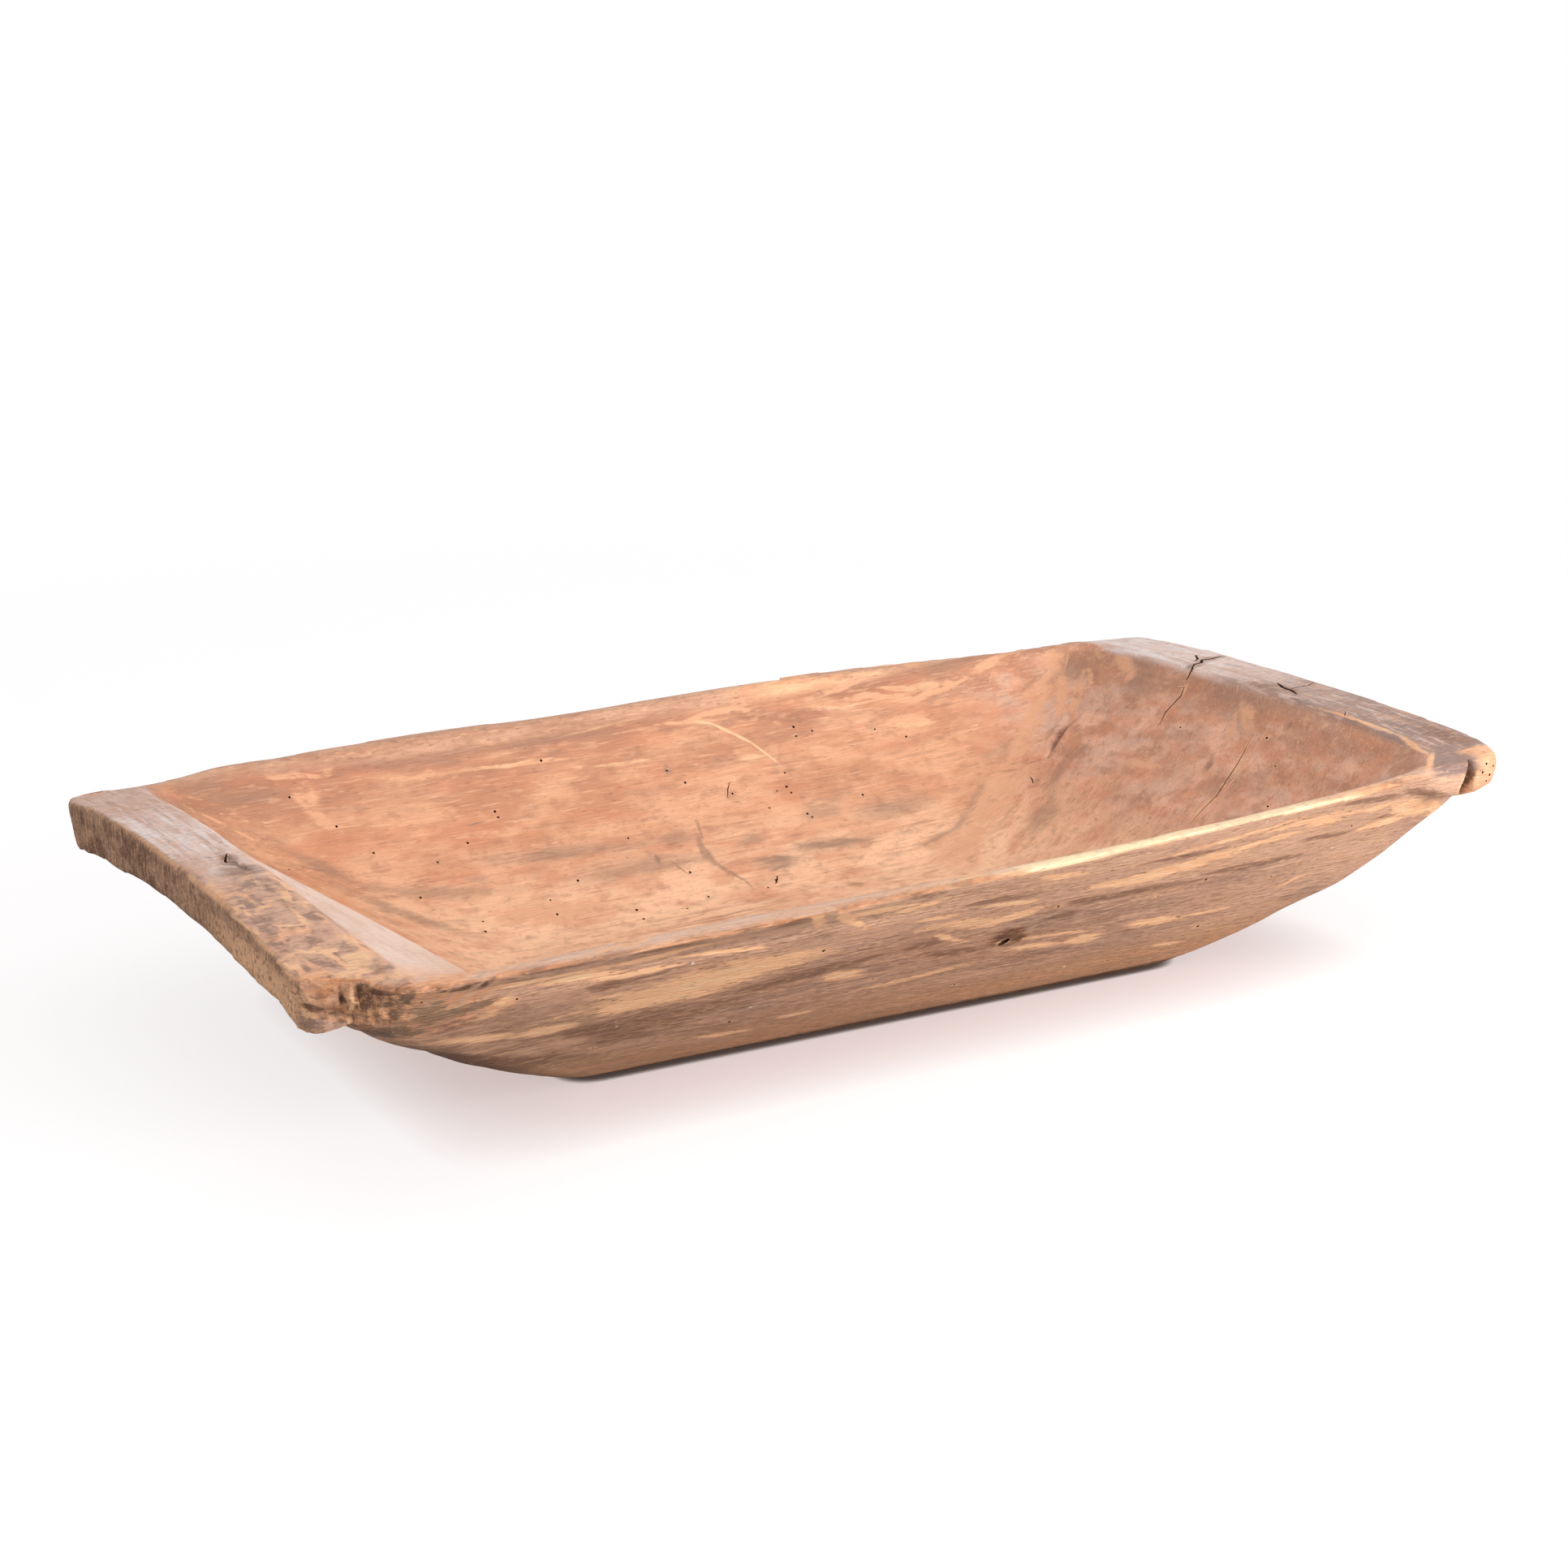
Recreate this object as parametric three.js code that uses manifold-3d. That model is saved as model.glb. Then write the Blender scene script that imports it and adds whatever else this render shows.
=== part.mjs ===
// Carved wooden trough: a shallow boat-like hull hollowed out of one block of wood,
// with a board-like ledge left standing across each end as a handle.
// Millimetres, +Z up, +X along the trough, -Y is the near side.
// The origin is the middle of the footprint box, on the flat that the trough rests on.

import * as THREE from 'three';
import { mergeVertices } from 'three/addons/utils/BufferGeometryUtils.js';
import Module from 'manifold-3d';

// Overall sizes
const LENGTH = 900;
const RIM_WIDTH = 476;
const RIM_HEIGHT = 144;

// Each corner, as carved by hand: how far the side draws in by the end of the hollow, how long and how
// wide the rim's corner curve is, the radius of the hollow's corner inside it, how far the ledge's
// tip stays behind the widest line of the rim, how far it droops and how much thicker it is there
const CORNERS = {
  nearLeft: { drawIn: 2, long: 54, wide: 30, inside: 38, tip: 34, droop: 0, thicker: 0 },
  nearRight: { drawIn: 13, long: 16, wide: 12, inside: 46, tip: 12, droop: 0, thicker: -1 },
  farRight: { drawIn: 40, long: 30, wide: 12, inside: 34, tip: 52, droop: 0, thicker: 0 },
  farLeft: { drawIn: 13, long: 48, wide: 18, inside: 30, tip: 13, droop: 5, thicker: 6 },
};
const DRAW_IN_POWER = 3;
const RIM_DIP = 4;
const RIM_THICKNESS = 11;

// The flat underside, which is narrower at the left end
const FLAT_END = { left: 225, right: 216 };
const FLAT_WIDTH = { left: 176, right: 252 };

// The hull: rounded sides, ends that rise in a nearly straight slope, and rounded corners
const SIDE_BULGE = 0.78;
const END_RISE = { left: 1.17, right: 1.4 };
const END_INSET = { left: 21, right: 9 };
const FLAT_CORNER = 22;
const CORNER_GROWTH = 3;

// The ledges at the ends
const LEDGE_DEPTH = 49;
const LEDGE_THICKNESS = 26;
const LEDGE_ARCH = { left: 10, right: 12 };
const LEDGE_BOW = { left: -6, right: 4 };
const LEDGE_CORNER = 9;
const ARCH_RUN = 70;
const DROOP_RUN = 90;

// The hollow
const FLOOR_THICKNESS = 24;
const FLOOR_LENGTH = 390;
const FLOOR_WIDTH = 170;
const BOWL_CURVE = 0.74;
const FLOOR_CORNER = 60;

// How finely the curved faces are divided
const HULL_LEVELS = 12;
const HOLLOW_LEVELS = 12;
const LEVEL_CROWDING = 1.5;
const CORNER_STEPS = 7;
const LONG_STEPS = 16;
const SHORT_STEPS = 10;
const TOP_STEPS = 40;
const LEDGE_STEPS = { depth: 3, width: 24 };

// How far the shapes reach above the finished top face, and the cut past the finished sides
const TRIM = 15;
const CUT_REACH = 40;

const WOOD = new THREE.MeshStandardMaterial({ color: 0xb98763, roughness: 0.7, metalness: 0 });

const halfLength = LENGTH / 2;
const halfWidth = RIM_WIDTH / 2;
const hollowHalfLength = halfLength - LEDGE_DEPTH;

// The corners in the order that an outline goes round, anticlockwise seen from above
const CORNER_ORDER = ['nearRight', 'farRight', 'farLeft', 'nearLeft'];

const wasm = await Module();
wasm.setup();

// The end and the corner that a point is nearest to; a centre line counts as right or far
function endAt(x) {
  return x < 0 ? 'left' : 'right';
}

function cornerAt(x, y) {
  return CORNERS[(y < 0 ? 'near' : 'far') + (x < 0 ? 'Left' : 'Right')];
}

// Half-width of the rim's outer edge at x, on the side that y is on
function rimHalfWidth(x, y) {
  const drawIn = cornerAt(x, y).drawIn * Math.abs(x / hollowHalfLength) ** DRAW_IN_POWER;
  return halfWidth - drawIn;
}

// Half-width of the flat underside at x, which runs on unchanged past the flat's two ends
function flatHalfWidth(x) {
  const along = THREE.MathUtils.clamp((x + FLAT_END.left) / (FLAT_END.left + FLAT_END.right), 0, 1);
  return THREE.MathUtils.lerp(FLAT_WIDTH.left, FLAT_WIDTH.right, along) / 2;
}

// Height of the top face: the rim dips at mid-length, and the ledges are arched across their width
function topHeight(x, y) {
  const dip = RIM_DIP * Math.max(0, 1 - (x / hollowHalfLength) ** 2);
  const onLedge = THREE.MathUtils.smoothstep(Math.abs(x), hollowHalfLength - ARCH_RUN, hollowHalfLength);
  const arch = LEDGE_ARCH[endAt(x)] * Math.max(0, 1 - (y / halfWidth) ** 2);
  const atTip = THREE.MathUtils.smoothstep(Math.abs(y), halfWidth - DROOP_RUN, halfWidth);
  return RIM_HEIGHT - dip + onLedge * (arch - cornerAt(x, y).droop * atTip);
}

// A point of an outline drawn as if the rim were level, raised or lowered with the rim above it
function liftToRim(x, y, z) {
  return new THREE.Vector3(x, y, z * topHeight(x, y) / RIM_HEIGHT);
}

// A rectangle from -1 to 1 each way whose corners are rounded, each over its own length and width
function unitOutline(roundings) {
  const signs = [[1, -1], [1, 1], [-1, 1], [-1, -1]];
  const points = [];
  signs.forEach(([sx, sy], i) => {
    const [long, wide] = roundings[i];
    for (let k = 0; k <= CORNER_STEPS; k++) {
      const angle = (i - 1 + k / CORNER_STEPS) * Math.PI / 2;
      const x = sx * (1 - long) + long * Math.cos(angle);
      const y = sy * (1 - wide) + wide * Math.sin(angle);
      points.push(new THREE.Vector2(x, y));
    }
    const last = points[points.length - 1];
    const [nextX, nextY] = signs[(i + 1) % 4];
    const [nextLong, nextWide] = roundings[(i + 1) % 4];
    const alongEnd = i % 2 === 0;
    const next = alongEnd
      ? new THREE.Vector2(nextX, nextY * (1 - nextWide))
      : new THREE.Vector2(nextX * (1 - nextLong), nextY);
    const steps = alongEnd ? SHORT_STEPS : LONG_STEPS;
    for (let k = 1; k < steps; k++) {
      points.push(last.clone().lerp(next, k / steps));
    }
  });
  return points;
}

// Joins level rings of points, bottom ring first, into one closed solid
function loft(rings) {
  const count = rings[0].length;
  const positions = rings.flat().flatMap((p) => [p.x, p.y, p.z]);
  const faces = [];
  for (let level = 0; level < rings.length - 1; level++) {
    for (let i = 0; i < count; i++) {
      const a = level * count + i;
      const b = level * count + (i + 1) % count;
      faces.push(a, b, b + count, a, b + count, a + count);
    }
  }
  const cap = (ring) => THREE.ShapeUtils.triangulateShape(ring.map((p) => new THREE.Vector2(p.x, p.y)), []);
  const top = (rings.length - 1) * count;
  cap(rings[0]).forEach(([a, b, c]) => faces.push(a, c, b));
  cap(rings[rings.length - 1]).forEach(([a, b, c]) => faces.push(top + a, top + b, top + c));
  return solid(positions, faces);
}

function solid(positions, faces) {
  return new wasm.Manifold(new wasm.Mesh({
    numProp: 3,
    vertProperties: new Float32Array(positions),
    triVerts: new Uint32Array(faces),
  }));
}

// The hull's outline at height z
function hullRing(z) {
  const { lerp } = THREE.MathUtils;
  const up = z / RIM_HEIGHT;
  const spread = up ** SIDE_BULGE;
  const round = up ** CORNER_GROWTH;
  const reach = (x) => {
    const end = endAt(x);
    const rise = Math.min(1, (z / (RIM_HEIGHT - LEDGE_THICKNESS)) ** (1 / END_RISE[end]));
    return lerp(FLAT_END[end], halfLength - END_INSET[end], rise);
  };
  const edge = (x, y) => lerp(flatHalfWidth(x), rimHalfWidth(x, y), spread);
  const roundings = CORNER_ORDER.map((name, i) => {
    const { long, wide } = CORNERS[name];
    const x = i < 2 ? reach(1) : -reach(-1);
    const y = i % 3 === 0 ? -1 : 1;
    return [lerp(FLAT_CORNER, long, round) / Math.abs(x), lerp(FLAT_CORNER, wide, round) / edge(x, y)];
  });
  return unitOutline(roundings).map((p) => {
    const x = p.x * reach(p.x);
    return liftToRim(x, p.y * edge(x, p.y), z);
  });
}

// The hollow's outline at height z
function hollowRing(z) {
  const { lerp } = THREE.MathUtils;
  const up = (z - FLOOR_THICKNESS) / (RIM_HEIGHT - FLOOR_THICKNESS);
  const spread = up ** BOWL_CURVE;
  const reach = lerp(FLOOR_LENGTH / 2, hollowHalfLength, spread);
  const edge = (x, y) => lerp(FLOOR_WIDTH / 2, rimHalfWidth(x, y) - RIM_THICKNESS, spread);
  const roundings = CORNER_ORDER.map((name, i) => {
    const radius = lerp(FLOOR_CORNER, CORNERS[name].inside, up);
    const y = i % 3 === 0 ? -1 : 1;
    return [radius / reach, radius / edge(i < 2 ? reach : -reach, y)];
  });
  return unitOutline(roundings).map((p) => {
    const x = p.x * reach;
    return liftToRim(x, p.y * edge(x, p.y), z);
  });
}

// Heights from low to high, closer together near the bottom, where the faces curve most
function levels(low, high, count) {
  return Array.from({ length: count + 1 }, (unused, k) => low + (high - low) * (k / count) ** LEVEL_CROWDING);
}

function hull() {
  return loft(levels(0, RIM_HEIGHT + TRIM, HULL_LEVELS).map(hullRing));
}

function hollow() {
  return loft(levels(FLOOR_THICKNESS, RIM_HEIGHT + TRIM, HOLLOW_LEVELS).map(hollowRing));
}

// A block over a rectangle whose lower and upper faces follow two height functions
function slab([x0, x1, xSteps], [y0, y1, ySteps], bend, lower, upper) {
  const rows = ySteps + 1;
  const positions = [];
  const faces = [];
  for (const height of [lower, upper]) {
    for (let i = 0; i <= xSteps; i++) {
      for (let j = 0; j <= ySteps; j++) {
        const [x, y] = bend(THREE.MathUtils.lerp(x0, x1, i / xSteps), THREE.MathUtils.lerp(y0, y1, j / ySteps));
        positions.push(x, y, height(x, y));
      }
    }
  }
  const top = (xSteps + 1) * rows;
  const quad = (a, b, c, d) => faces.push(a, b, c, a, c, d);
  for (let i = 0; i < xSteps; i++) {
    for (let j = 0; j < ySteps; j++) {
      const a = i * rows + j;
      quad(a, a + 1, a + rows + 1, a + rows);
      quad(top + a, top + a + rows, top + a + rows + 1, top + a + 1);
    }
    const nearEdge = i * rows;
    const farEdge = nearEdge + ySteps;
    quad(nearEdge, nearEdge + rows, top + nearEdge + rows, top + nearEdge);
    quad(farEdge, top + farEdge, top + farEdge + rows, farEdge + rows);
  }
  for (let j = 0; j < ySteps; j++) {
    const end = xSteps * rows + j;
    quad(j, top + j, top + j + 1, j + 1);
    quad(end, end + 1, top + end + 1, top + end);
  }
  return solid(positions, faces);
}

// One ledge, side -1 at the left and 1 at the right: its outer edge is slightly hollow or bowed
// in plan, and its two tips are rounded
function ledge(side) {
  const near = halfWidth - cornerAt(side, -1).tip;
  const far = halfWidth - cornerAt(side, 1).tip;
  const bow = LEDGE_BOW[endAt(side)];
  const inner = hollowHalfLength - LEDGE_DEPTH / 2;
  const bend = (u, v) => {
    const y = v * (v < 0 ? near : far);
    const tip = Math.max(0, Math.abs(y) - (v < 0 ? near : far) + LEDGE_CORNER);
    const round = LEDGE_CORNER - Math.sqrt(LEDGE_CORNER ** 2 - tip ** 2);
    const setBack = bow < 0 ? -bow * (1 - v * v) : bow * v * v;
    return [side * THREE.MathUtils.lerp(inner, halfLength - setBack - round, u), y];
  };
  const underside = (x, y) => {
    const thicker = THREE.MathUtils.mapLinear(y, -near, far, cornerAt(side, -1).thicker, cornerAt(side, 1).thicker);
    return topHeight(x, y) - LEDGE_THICKNESS - thicker;
  };
  const above = () => RIM_HEIGHT + Math.max(LEDGE_ARCH.left, LEDGE_ARCH.right) + TRIM;
  return slab([0, 1, LEDGE_STEPS.depth], [-side, side, LEDGE_STEPS.width], bend, underside, above);
}

// Everything above the top face
function aboveTop() {
  const reachX = halfLength + CUT_REACH;
  const reachY = halfWidth + CUT_REACH;
  const flatTop = () => 2 * RIM_HEIGHT;
  return slab([-reachX, reachX, TOP_STEPS], [-reachY, reachY, SHORT_STEPS], (x, y) => [x, y], topHeight, flatTop);
}

function geometryOf(manifold) {
  const { vertProperties, triVerts } = manifold.getMesh();
  const geometry = new THREE.BufferGeometry();
  geometry.setAttribute('position', new THREE.BufferAttribute(vertProperties, 3));
  geometry.setIndex(new THREE.BufferAttribute(triVerts, 1));
  return mergeVertices(geometry);
}

function trough() {
  const carved = hull().add(ledge(-1)).add(ledge(1)).subtract(aboveTop()).subtract(hollow());
  const { min, max } = carved.boundingBox();
  const geometry = geometryOf(carved);
  geometry.translate(-(min[0] + max[0]) / 2, -(min[1] + max[1]) / 2, 0);
  geometry.computeVertexNormals();
  const mesh = new THREE.Mesh(geometry, WOOD);
  mesh.name = 'trough';
  return mesh;
}

const model = new THREE.Group();
model.add(trough());

export default model;
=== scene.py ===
# %% [markdown]
# # A carved wooden trough
# This lesson builds the looks of a long wooden trough, about 90 cm from end to end. It was hewn from one
# balk of a soft pale hardwood such as poplar or lime: a hull outside, a hollow inside, and a ledge left
# standing at each end to lift it by. Years of use gave it a brown skin, and that skin is rubbed through
# to light wood wherever hands, knives and the floor touch it.
#
# The frame holds the true sizes. Everything here is laid over that frame, in metres and in the same axes:
# X runs along the trough, Y across it with the near side at minus Y, and Z goes up from the floor.

# %% Load the frame
import math
import random

import bpy
import numpy as np
from mathutils import Matrix, Vector, noise


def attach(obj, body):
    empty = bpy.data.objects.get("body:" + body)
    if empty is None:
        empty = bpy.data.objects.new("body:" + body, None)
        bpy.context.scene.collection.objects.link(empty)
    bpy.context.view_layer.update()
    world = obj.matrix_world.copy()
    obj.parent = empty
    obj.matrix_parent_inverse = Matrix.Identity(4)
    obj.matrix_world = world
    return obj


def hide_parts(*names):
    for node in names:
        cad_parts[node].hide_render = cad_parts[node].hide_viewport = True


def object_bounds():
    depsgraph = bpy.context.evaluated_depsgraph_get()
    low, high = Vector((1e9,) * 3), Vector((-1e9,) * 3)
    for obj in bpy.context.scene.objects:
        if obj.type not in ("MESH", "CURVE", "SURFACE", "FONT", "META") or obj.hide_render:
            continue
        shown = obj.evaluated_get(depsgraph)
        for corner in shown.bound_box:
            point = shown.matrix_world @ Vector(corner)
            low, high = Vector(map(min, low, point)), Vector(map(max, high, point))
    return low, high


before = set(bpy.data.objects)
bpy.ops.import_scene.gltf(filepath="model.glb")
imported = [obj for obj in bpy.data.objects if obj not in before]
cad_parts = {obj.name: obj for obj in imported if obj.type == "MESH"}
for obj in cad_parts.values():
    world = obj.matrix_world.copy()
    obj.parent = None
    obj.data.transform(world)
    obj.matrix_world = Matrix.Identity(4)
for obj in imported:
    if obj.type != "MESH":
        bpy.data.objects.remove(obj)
cad_box = [list(corner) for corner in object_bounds()]
print("frame nodes:", sorted(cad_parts), "box:", cad_box)

# %% [markdown]
# ## The camera
# The photograph was taken from the near left, a little above the rim, with a longish lens. A camera can be
# placed by hand and turned by eye, or from its azimuth and elevation round a target. The second way is used,
# because an angle reads more easily than a rotation matrix, and each number can be changed by itself.

# %% Place the camera
PHOTO_SIDE_PX = 1932
FOCAL_PX = 3129.7
SENSOR_MM = 36
AZIMUTH = math.radians(-32.29)
ELEVATION = math.radians(16.86)
ROLL = math.radians(0.12)
DISTANCE = 1.7471
TARGET = Vector((-0.0169, 0, 0.1391))

away = Vector((
    math.sin(AZIMUTH) * math.cos(ELEVATION),
    -math.cos(AZIMUTH) * math.cos(ELEVATION),
    math.sin(ELEVATION),
))
across = Vector((math.cos(AZIMUTH), math.sin(AZIMUTH), 0))
upward = away.cross(across)
turn = Matrix((across, upward, away)).transposed().to_4x4()

camera = bpy.data.objects.new("camera", bpy.data.cameras.new("camera"))
bpy.context.scene.collection.objects.link(camera)
camera.matrix_world = Matrix.Translation(TARGET + away * DISTANCE) @ turn @ Matrix.Rotation(ROLL, 4, "Z")
camera.data.sensor_width = SENSOR_MM
camera.data.lens = FOCAL_PX * SENSOR_MM / PHOTO_SIDE_PX
camera.data.clip_end = 50
bpy.context.scene.camera = camera
print("camera at", [round(v, 3) for v in camera.location], "lens", round(camera.data.lens, 2), "mm")

# %% [markdown]
# ## A body to carve
# The frame's trough has the right sizes but is a plain solid of long triangles. It could be subdivided, yet
# long thin triangles stay long and thin, and a carved surface wants small even faces. So a copy is merged
# first, as its triangles come loose, and a voxel remesh then lays an even skin over it, which can be pushed
# about like clay. A short smoothing takes off the saw edges that voxels leave, and it also rounds each arris
# by a few millimetres, as wear has done on the real one.

# %% Copy the frame's trough and give it an even skin
VOXEL = 0.0027
SMOOTHING_ROUNDS = 4


def deselect_all():
    bpy.ops.object.select_all(action="DESELECT")


def make_active(piece):
    """Selects one piece alone, so that an operator acts on it and on nothing else."""
    deselect_all()
    piece.select_set(True)
    bpy.context.view_layer.objects.active = piece


def apply_modifier(piece, kind, **settings):
    """Adds one modifier with its settings and applies it at once."""
    make_active(piece)
    modifier = piece.modifiers.new(kind.lower(), kind)
    for name, value in settings.items():
        setattr(modifier, name, value)
    bpy.ops.object.modifier_apply(modifier=modifier.name)


def edit_whole(piece, operator, **settings):
    """Runs one edit-mode operator on all of a piece."""
    make_active(piece)
    bpy.ops.object.mode_set(mode="EDIT")
    bpy.ops.mesh.select_all(action="SELECT")
    operator(**settings)
    bpy.ops.object.mode_set(mode="OBJECT")


cad_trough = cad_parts["trough"]
trough = cad_trough.copy()
trough.data = cad_trough.data.copy()
trough.name = "carved_trough"
trough.parent = None
bpy.context.scene.collection.objects.link(trough)

edit_whole(trough, bpy.ops.mesh.remove_doubles, threshold=0.00001)
apply_modifier(trough, "REMESH", mode="VOXEL", voxel_size=VOXEL)
apply_modifier(trough, "SMOOTH", factor=0.5, iterations=SMOOTHING_ROUNDS)
print("even skin:", len(trough.data.vertices), "vertices")

# %% [markdown]
# ## Where each surface is
# Inside, outside, ledge and rim were cut with different tools and have worn in different ways, so the later
# steps need to know which is which. They could be picked face by face. Here they are told apart by where a
# point is and which way it faces: a point of the hollow faces the middle or the sky, and a point of the hull
# faces out and down. The helpers work in millimetres, the unit that the carving is thought out in.

# %% Helpers that read and write the surface in millimetres
METRES_TO_MM = 1000


def read_vectors(items, name):
    """One named vector of each vertex or face, as rows of an array."""
    flat = np.empty(len(items) * 3, np.float32)
    items.foreach_get(name, flat)
    return flat.reshape(-1, 3).astype(float)


def read_points(piece):
    return read_vectors(piece.data.vertices, "co") * METRES_TO_MM


def write_points(piece, points):
    piece.data.vertices.foreach_set("co", (points / METRES_TO_MM).astype(np.float32).ravel())
    piece.data.update()


def read_normals(piece):
    return read_vectors(piece.data.vertex_normals, "vector")


def ease(low, high, values):
    """0 below low and 1 above high, with a smooth step between them."""
    share = np.clip((values - low) / (high - low), 0, 1)
    return share * share * (3 - 2 * share)


def ball(points, centre, radii):
    """1 at the centre of an ellipsoid, falling smoothly to 0 at its skin."""
    distance = (((points - centre) / radii) ** 2).sum(1)
    return np.clip(1 - distance, 0, 1) ** 2


# %% Tell the surfaces apart
MOUTH_HALF = (398, 228)
RIM_TOP = 140


def find_zones(points, normals):
    """How far each point belongs to the hollow, a ledge's top, a ledge's end face and the rim's top."""
    x, y, z = points.T
    towards_middle = -(normals[:, 0] * x / MOUTH_HALF[0] ** 2 + normals[:, 1] * y / MOUTH_HALF[1] ** 2)
    towards_middle /= np.hypot(x / MOUTH_HALF[0] ** 2, y / MOUTH_HALF[1] ** 2) + 1e-9
    in_mouth = ease(1.03, 0.99, np.maximum(np.abs(x) / MOUTH_HALF[0], np.abs(y) / MOUTH_HALF[1]))
    facing_in = np.maximum(ease(-0.1, 0.15, towards_middle), ease(0.5, 0.7, normals[:, 2]))
    hollow = in_mouth * facing_in * ease(-0.3, 0.0, normals[:, 2]) * ease(12, 18, z)
    past_mouth = ease(393, 399, np.abs(x))
    ledge_top = past_mouth * ease(0.52, 0.74, normals[:, 2]) * ease(118, 124, z)
    end_face = ease(420, 432, np.abs(x)) * ease(0.48, 0.64, np.abs(normals[:, 0]))
    rim_top = ease(0.25, 0.6, normals[:, 2]) * ease(RIM_TOP - 10, RIM_TOP - 3, z) * (1 - past_mouth)
    rim_top *= ease(214, 221, np.abs(y))
    hollow *= 1 - rim_top
    return {"hollow": hollow, "ledge_top": ledge_top, "end_face": end_face, "rim_top": rim_top}


zones = find_zones(read_points(trough), read_normals(trough))
print({name: round(float(value.mean()), 3) for name, value in zones.items()})

# %% [markdown]
# ## More faces where the wood is torn and gouged
# Three places need finer faces than the rest: the corner at the near left, where the ledge's tip has broken
# away from the rim, the near tip at the right with its notch, and the crease at the far right of the hollow,
# where a gouge slipped and left deep marks. A finer remesh of everything would be wasteful, so only the faces
# of those three places are subdivided.

# %% Subdivide the torn corner, the gouged crease and the right tip
FINE_PLACES = {
    "torn corner": ((-415, -212, 128), (48, 42, 36)),
    "gouged crease": ((325, 145, 105), (85, 55, 60)),
    "right tip": ((420, -205, 128), (40, 30, 34)),
}


def faces_in(piece, centre, radii):
    return ball(read_vectors(piece.data.polygons, "center") * METRES_TO_MM, centre, radii) > 0


for place, (centre, radii) in FINE_PLACES.items():
    make_active(trough)
    bpy.ops.object.mode_set(mode="EDIT")
    bpy.ops.mesh.select_mode(type="FACE")
    bpy.ops.mesh.select_all(action="DESELECT")
    bpy.ops.object.mode_set(mode="OBJECT")
    trough.data.polygons.foreach_set("select", faces_in(trough, centre, radii))
    bpy.ops.object.mode_set(mode="EDIT")
    bpy.ops.mesh.subdivide(number_cuts=1, smoothness=0)
    bpy.ops.object.mode_set(mode="OBJECT")
    print(place, "now", len(trough.data.vertices), "vertices in all")

# %% [markdown]
# ## Tool marks
# A hewn surface is never flat. Axe and adze leave long shallow scoops along the grain outside, and a scraper
# leaves fainter ones inside. They could be a bump in the material, but the light on the near side shows true
# facets, and a bump has no outline. A Displace modifier moves the skin by a procedural texture instead. The
# texture is read through an empty that is stretched along X, so each mark comes out longer than it is wide.

# %% Displace the skin by waves and adze scoops
def weigh(piece, shares):
    """Puts shares of 0 to 1 into a vertex group, which a modifier takes as its strength at each point."""
    group = piece.vertex_groups.new(name="zone")
    steps = np.round(shares, 1)
    for step in sorted(set(steps) - {0.0}):
        group.add(np.flatnonzero(steps == step).tolist(), float(step), "REPLACE")


def displace(piece, zone, texture_kind, cell_mm, stretch, depth_mm, **texture_settings):
    """Moves one zone of the surface along its normals by a texture whose cells are stretched along X."""
    weigh(piece, zone)
    texture = bpy.data.textures.new("tool_marks", texture_kind)
    texture.noise_scale = 1
    for name, value in texture_settings.items():
        setattr(texture, name, value)
    stretcher = bpy.data.objects.new("stretcher", None)
    stretcher.scale = [cell_mm * s / METRES_TO_MM for s in stretch]
    bpy.context.scene.collection.objects.link(stretcher)
    bpy.context.view_layer.update()
    apply_modifier(
        piece, "DISPLACE", texture=texture, texture_coords="OBJECT", texture_coords_object=stretcher,
        strength=depth_mm / METRES_TO_MM, mid_level=0.5, vertex_group="zone",
    )
    piece.vertex_groups.clear()
    bpy.data.objects.remove(stretcher)
    bpy.data.textures.remove(texture)


points = read_points(trough)
zones = find_zones(points, read_normals(trough))
off_the_floor = ease(2, 14, points[:, 2])
hull_zone = (1 - zones["hollow"]) * (1 - zones["ledge_top"]) * (1 - zones["rim_top"]) * off_the_floor
displace(trough, off_the_floor, "CLOUDS", 110, (2.2, 1, 1), 2.0, noise_depth=1)
displace(trough, hull_zone, "VORONOI", 30, (4.5, 1, 1), 1.2)
displace(trough, zones["hollow"], "VORONOI", 26, (2.4, 1, 1), 0.7)
displace(trough, off_the_floor, "CLOUDS", 14, (4, 1, 1), 0.5, noise_depth=2)
reach = read_points(trough)
print("after tool marks:", reach.min(0).round(1), reach.max(0).round(1))

# %% [markdown]
# ## Shaping by hand
# What makes this trough itself and no other are its accidents: corners worn round, a rim that lifts a little
# in the middle, a torn end, gouge marks and dents. In Blender they could be sculpted with a brush. A brush
# stroke is a centre, a reach and a move, so the same strokes are written down here and can be run again.
# Each move below fades out smoothly from its centre, as the Grab brush does.

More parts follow.
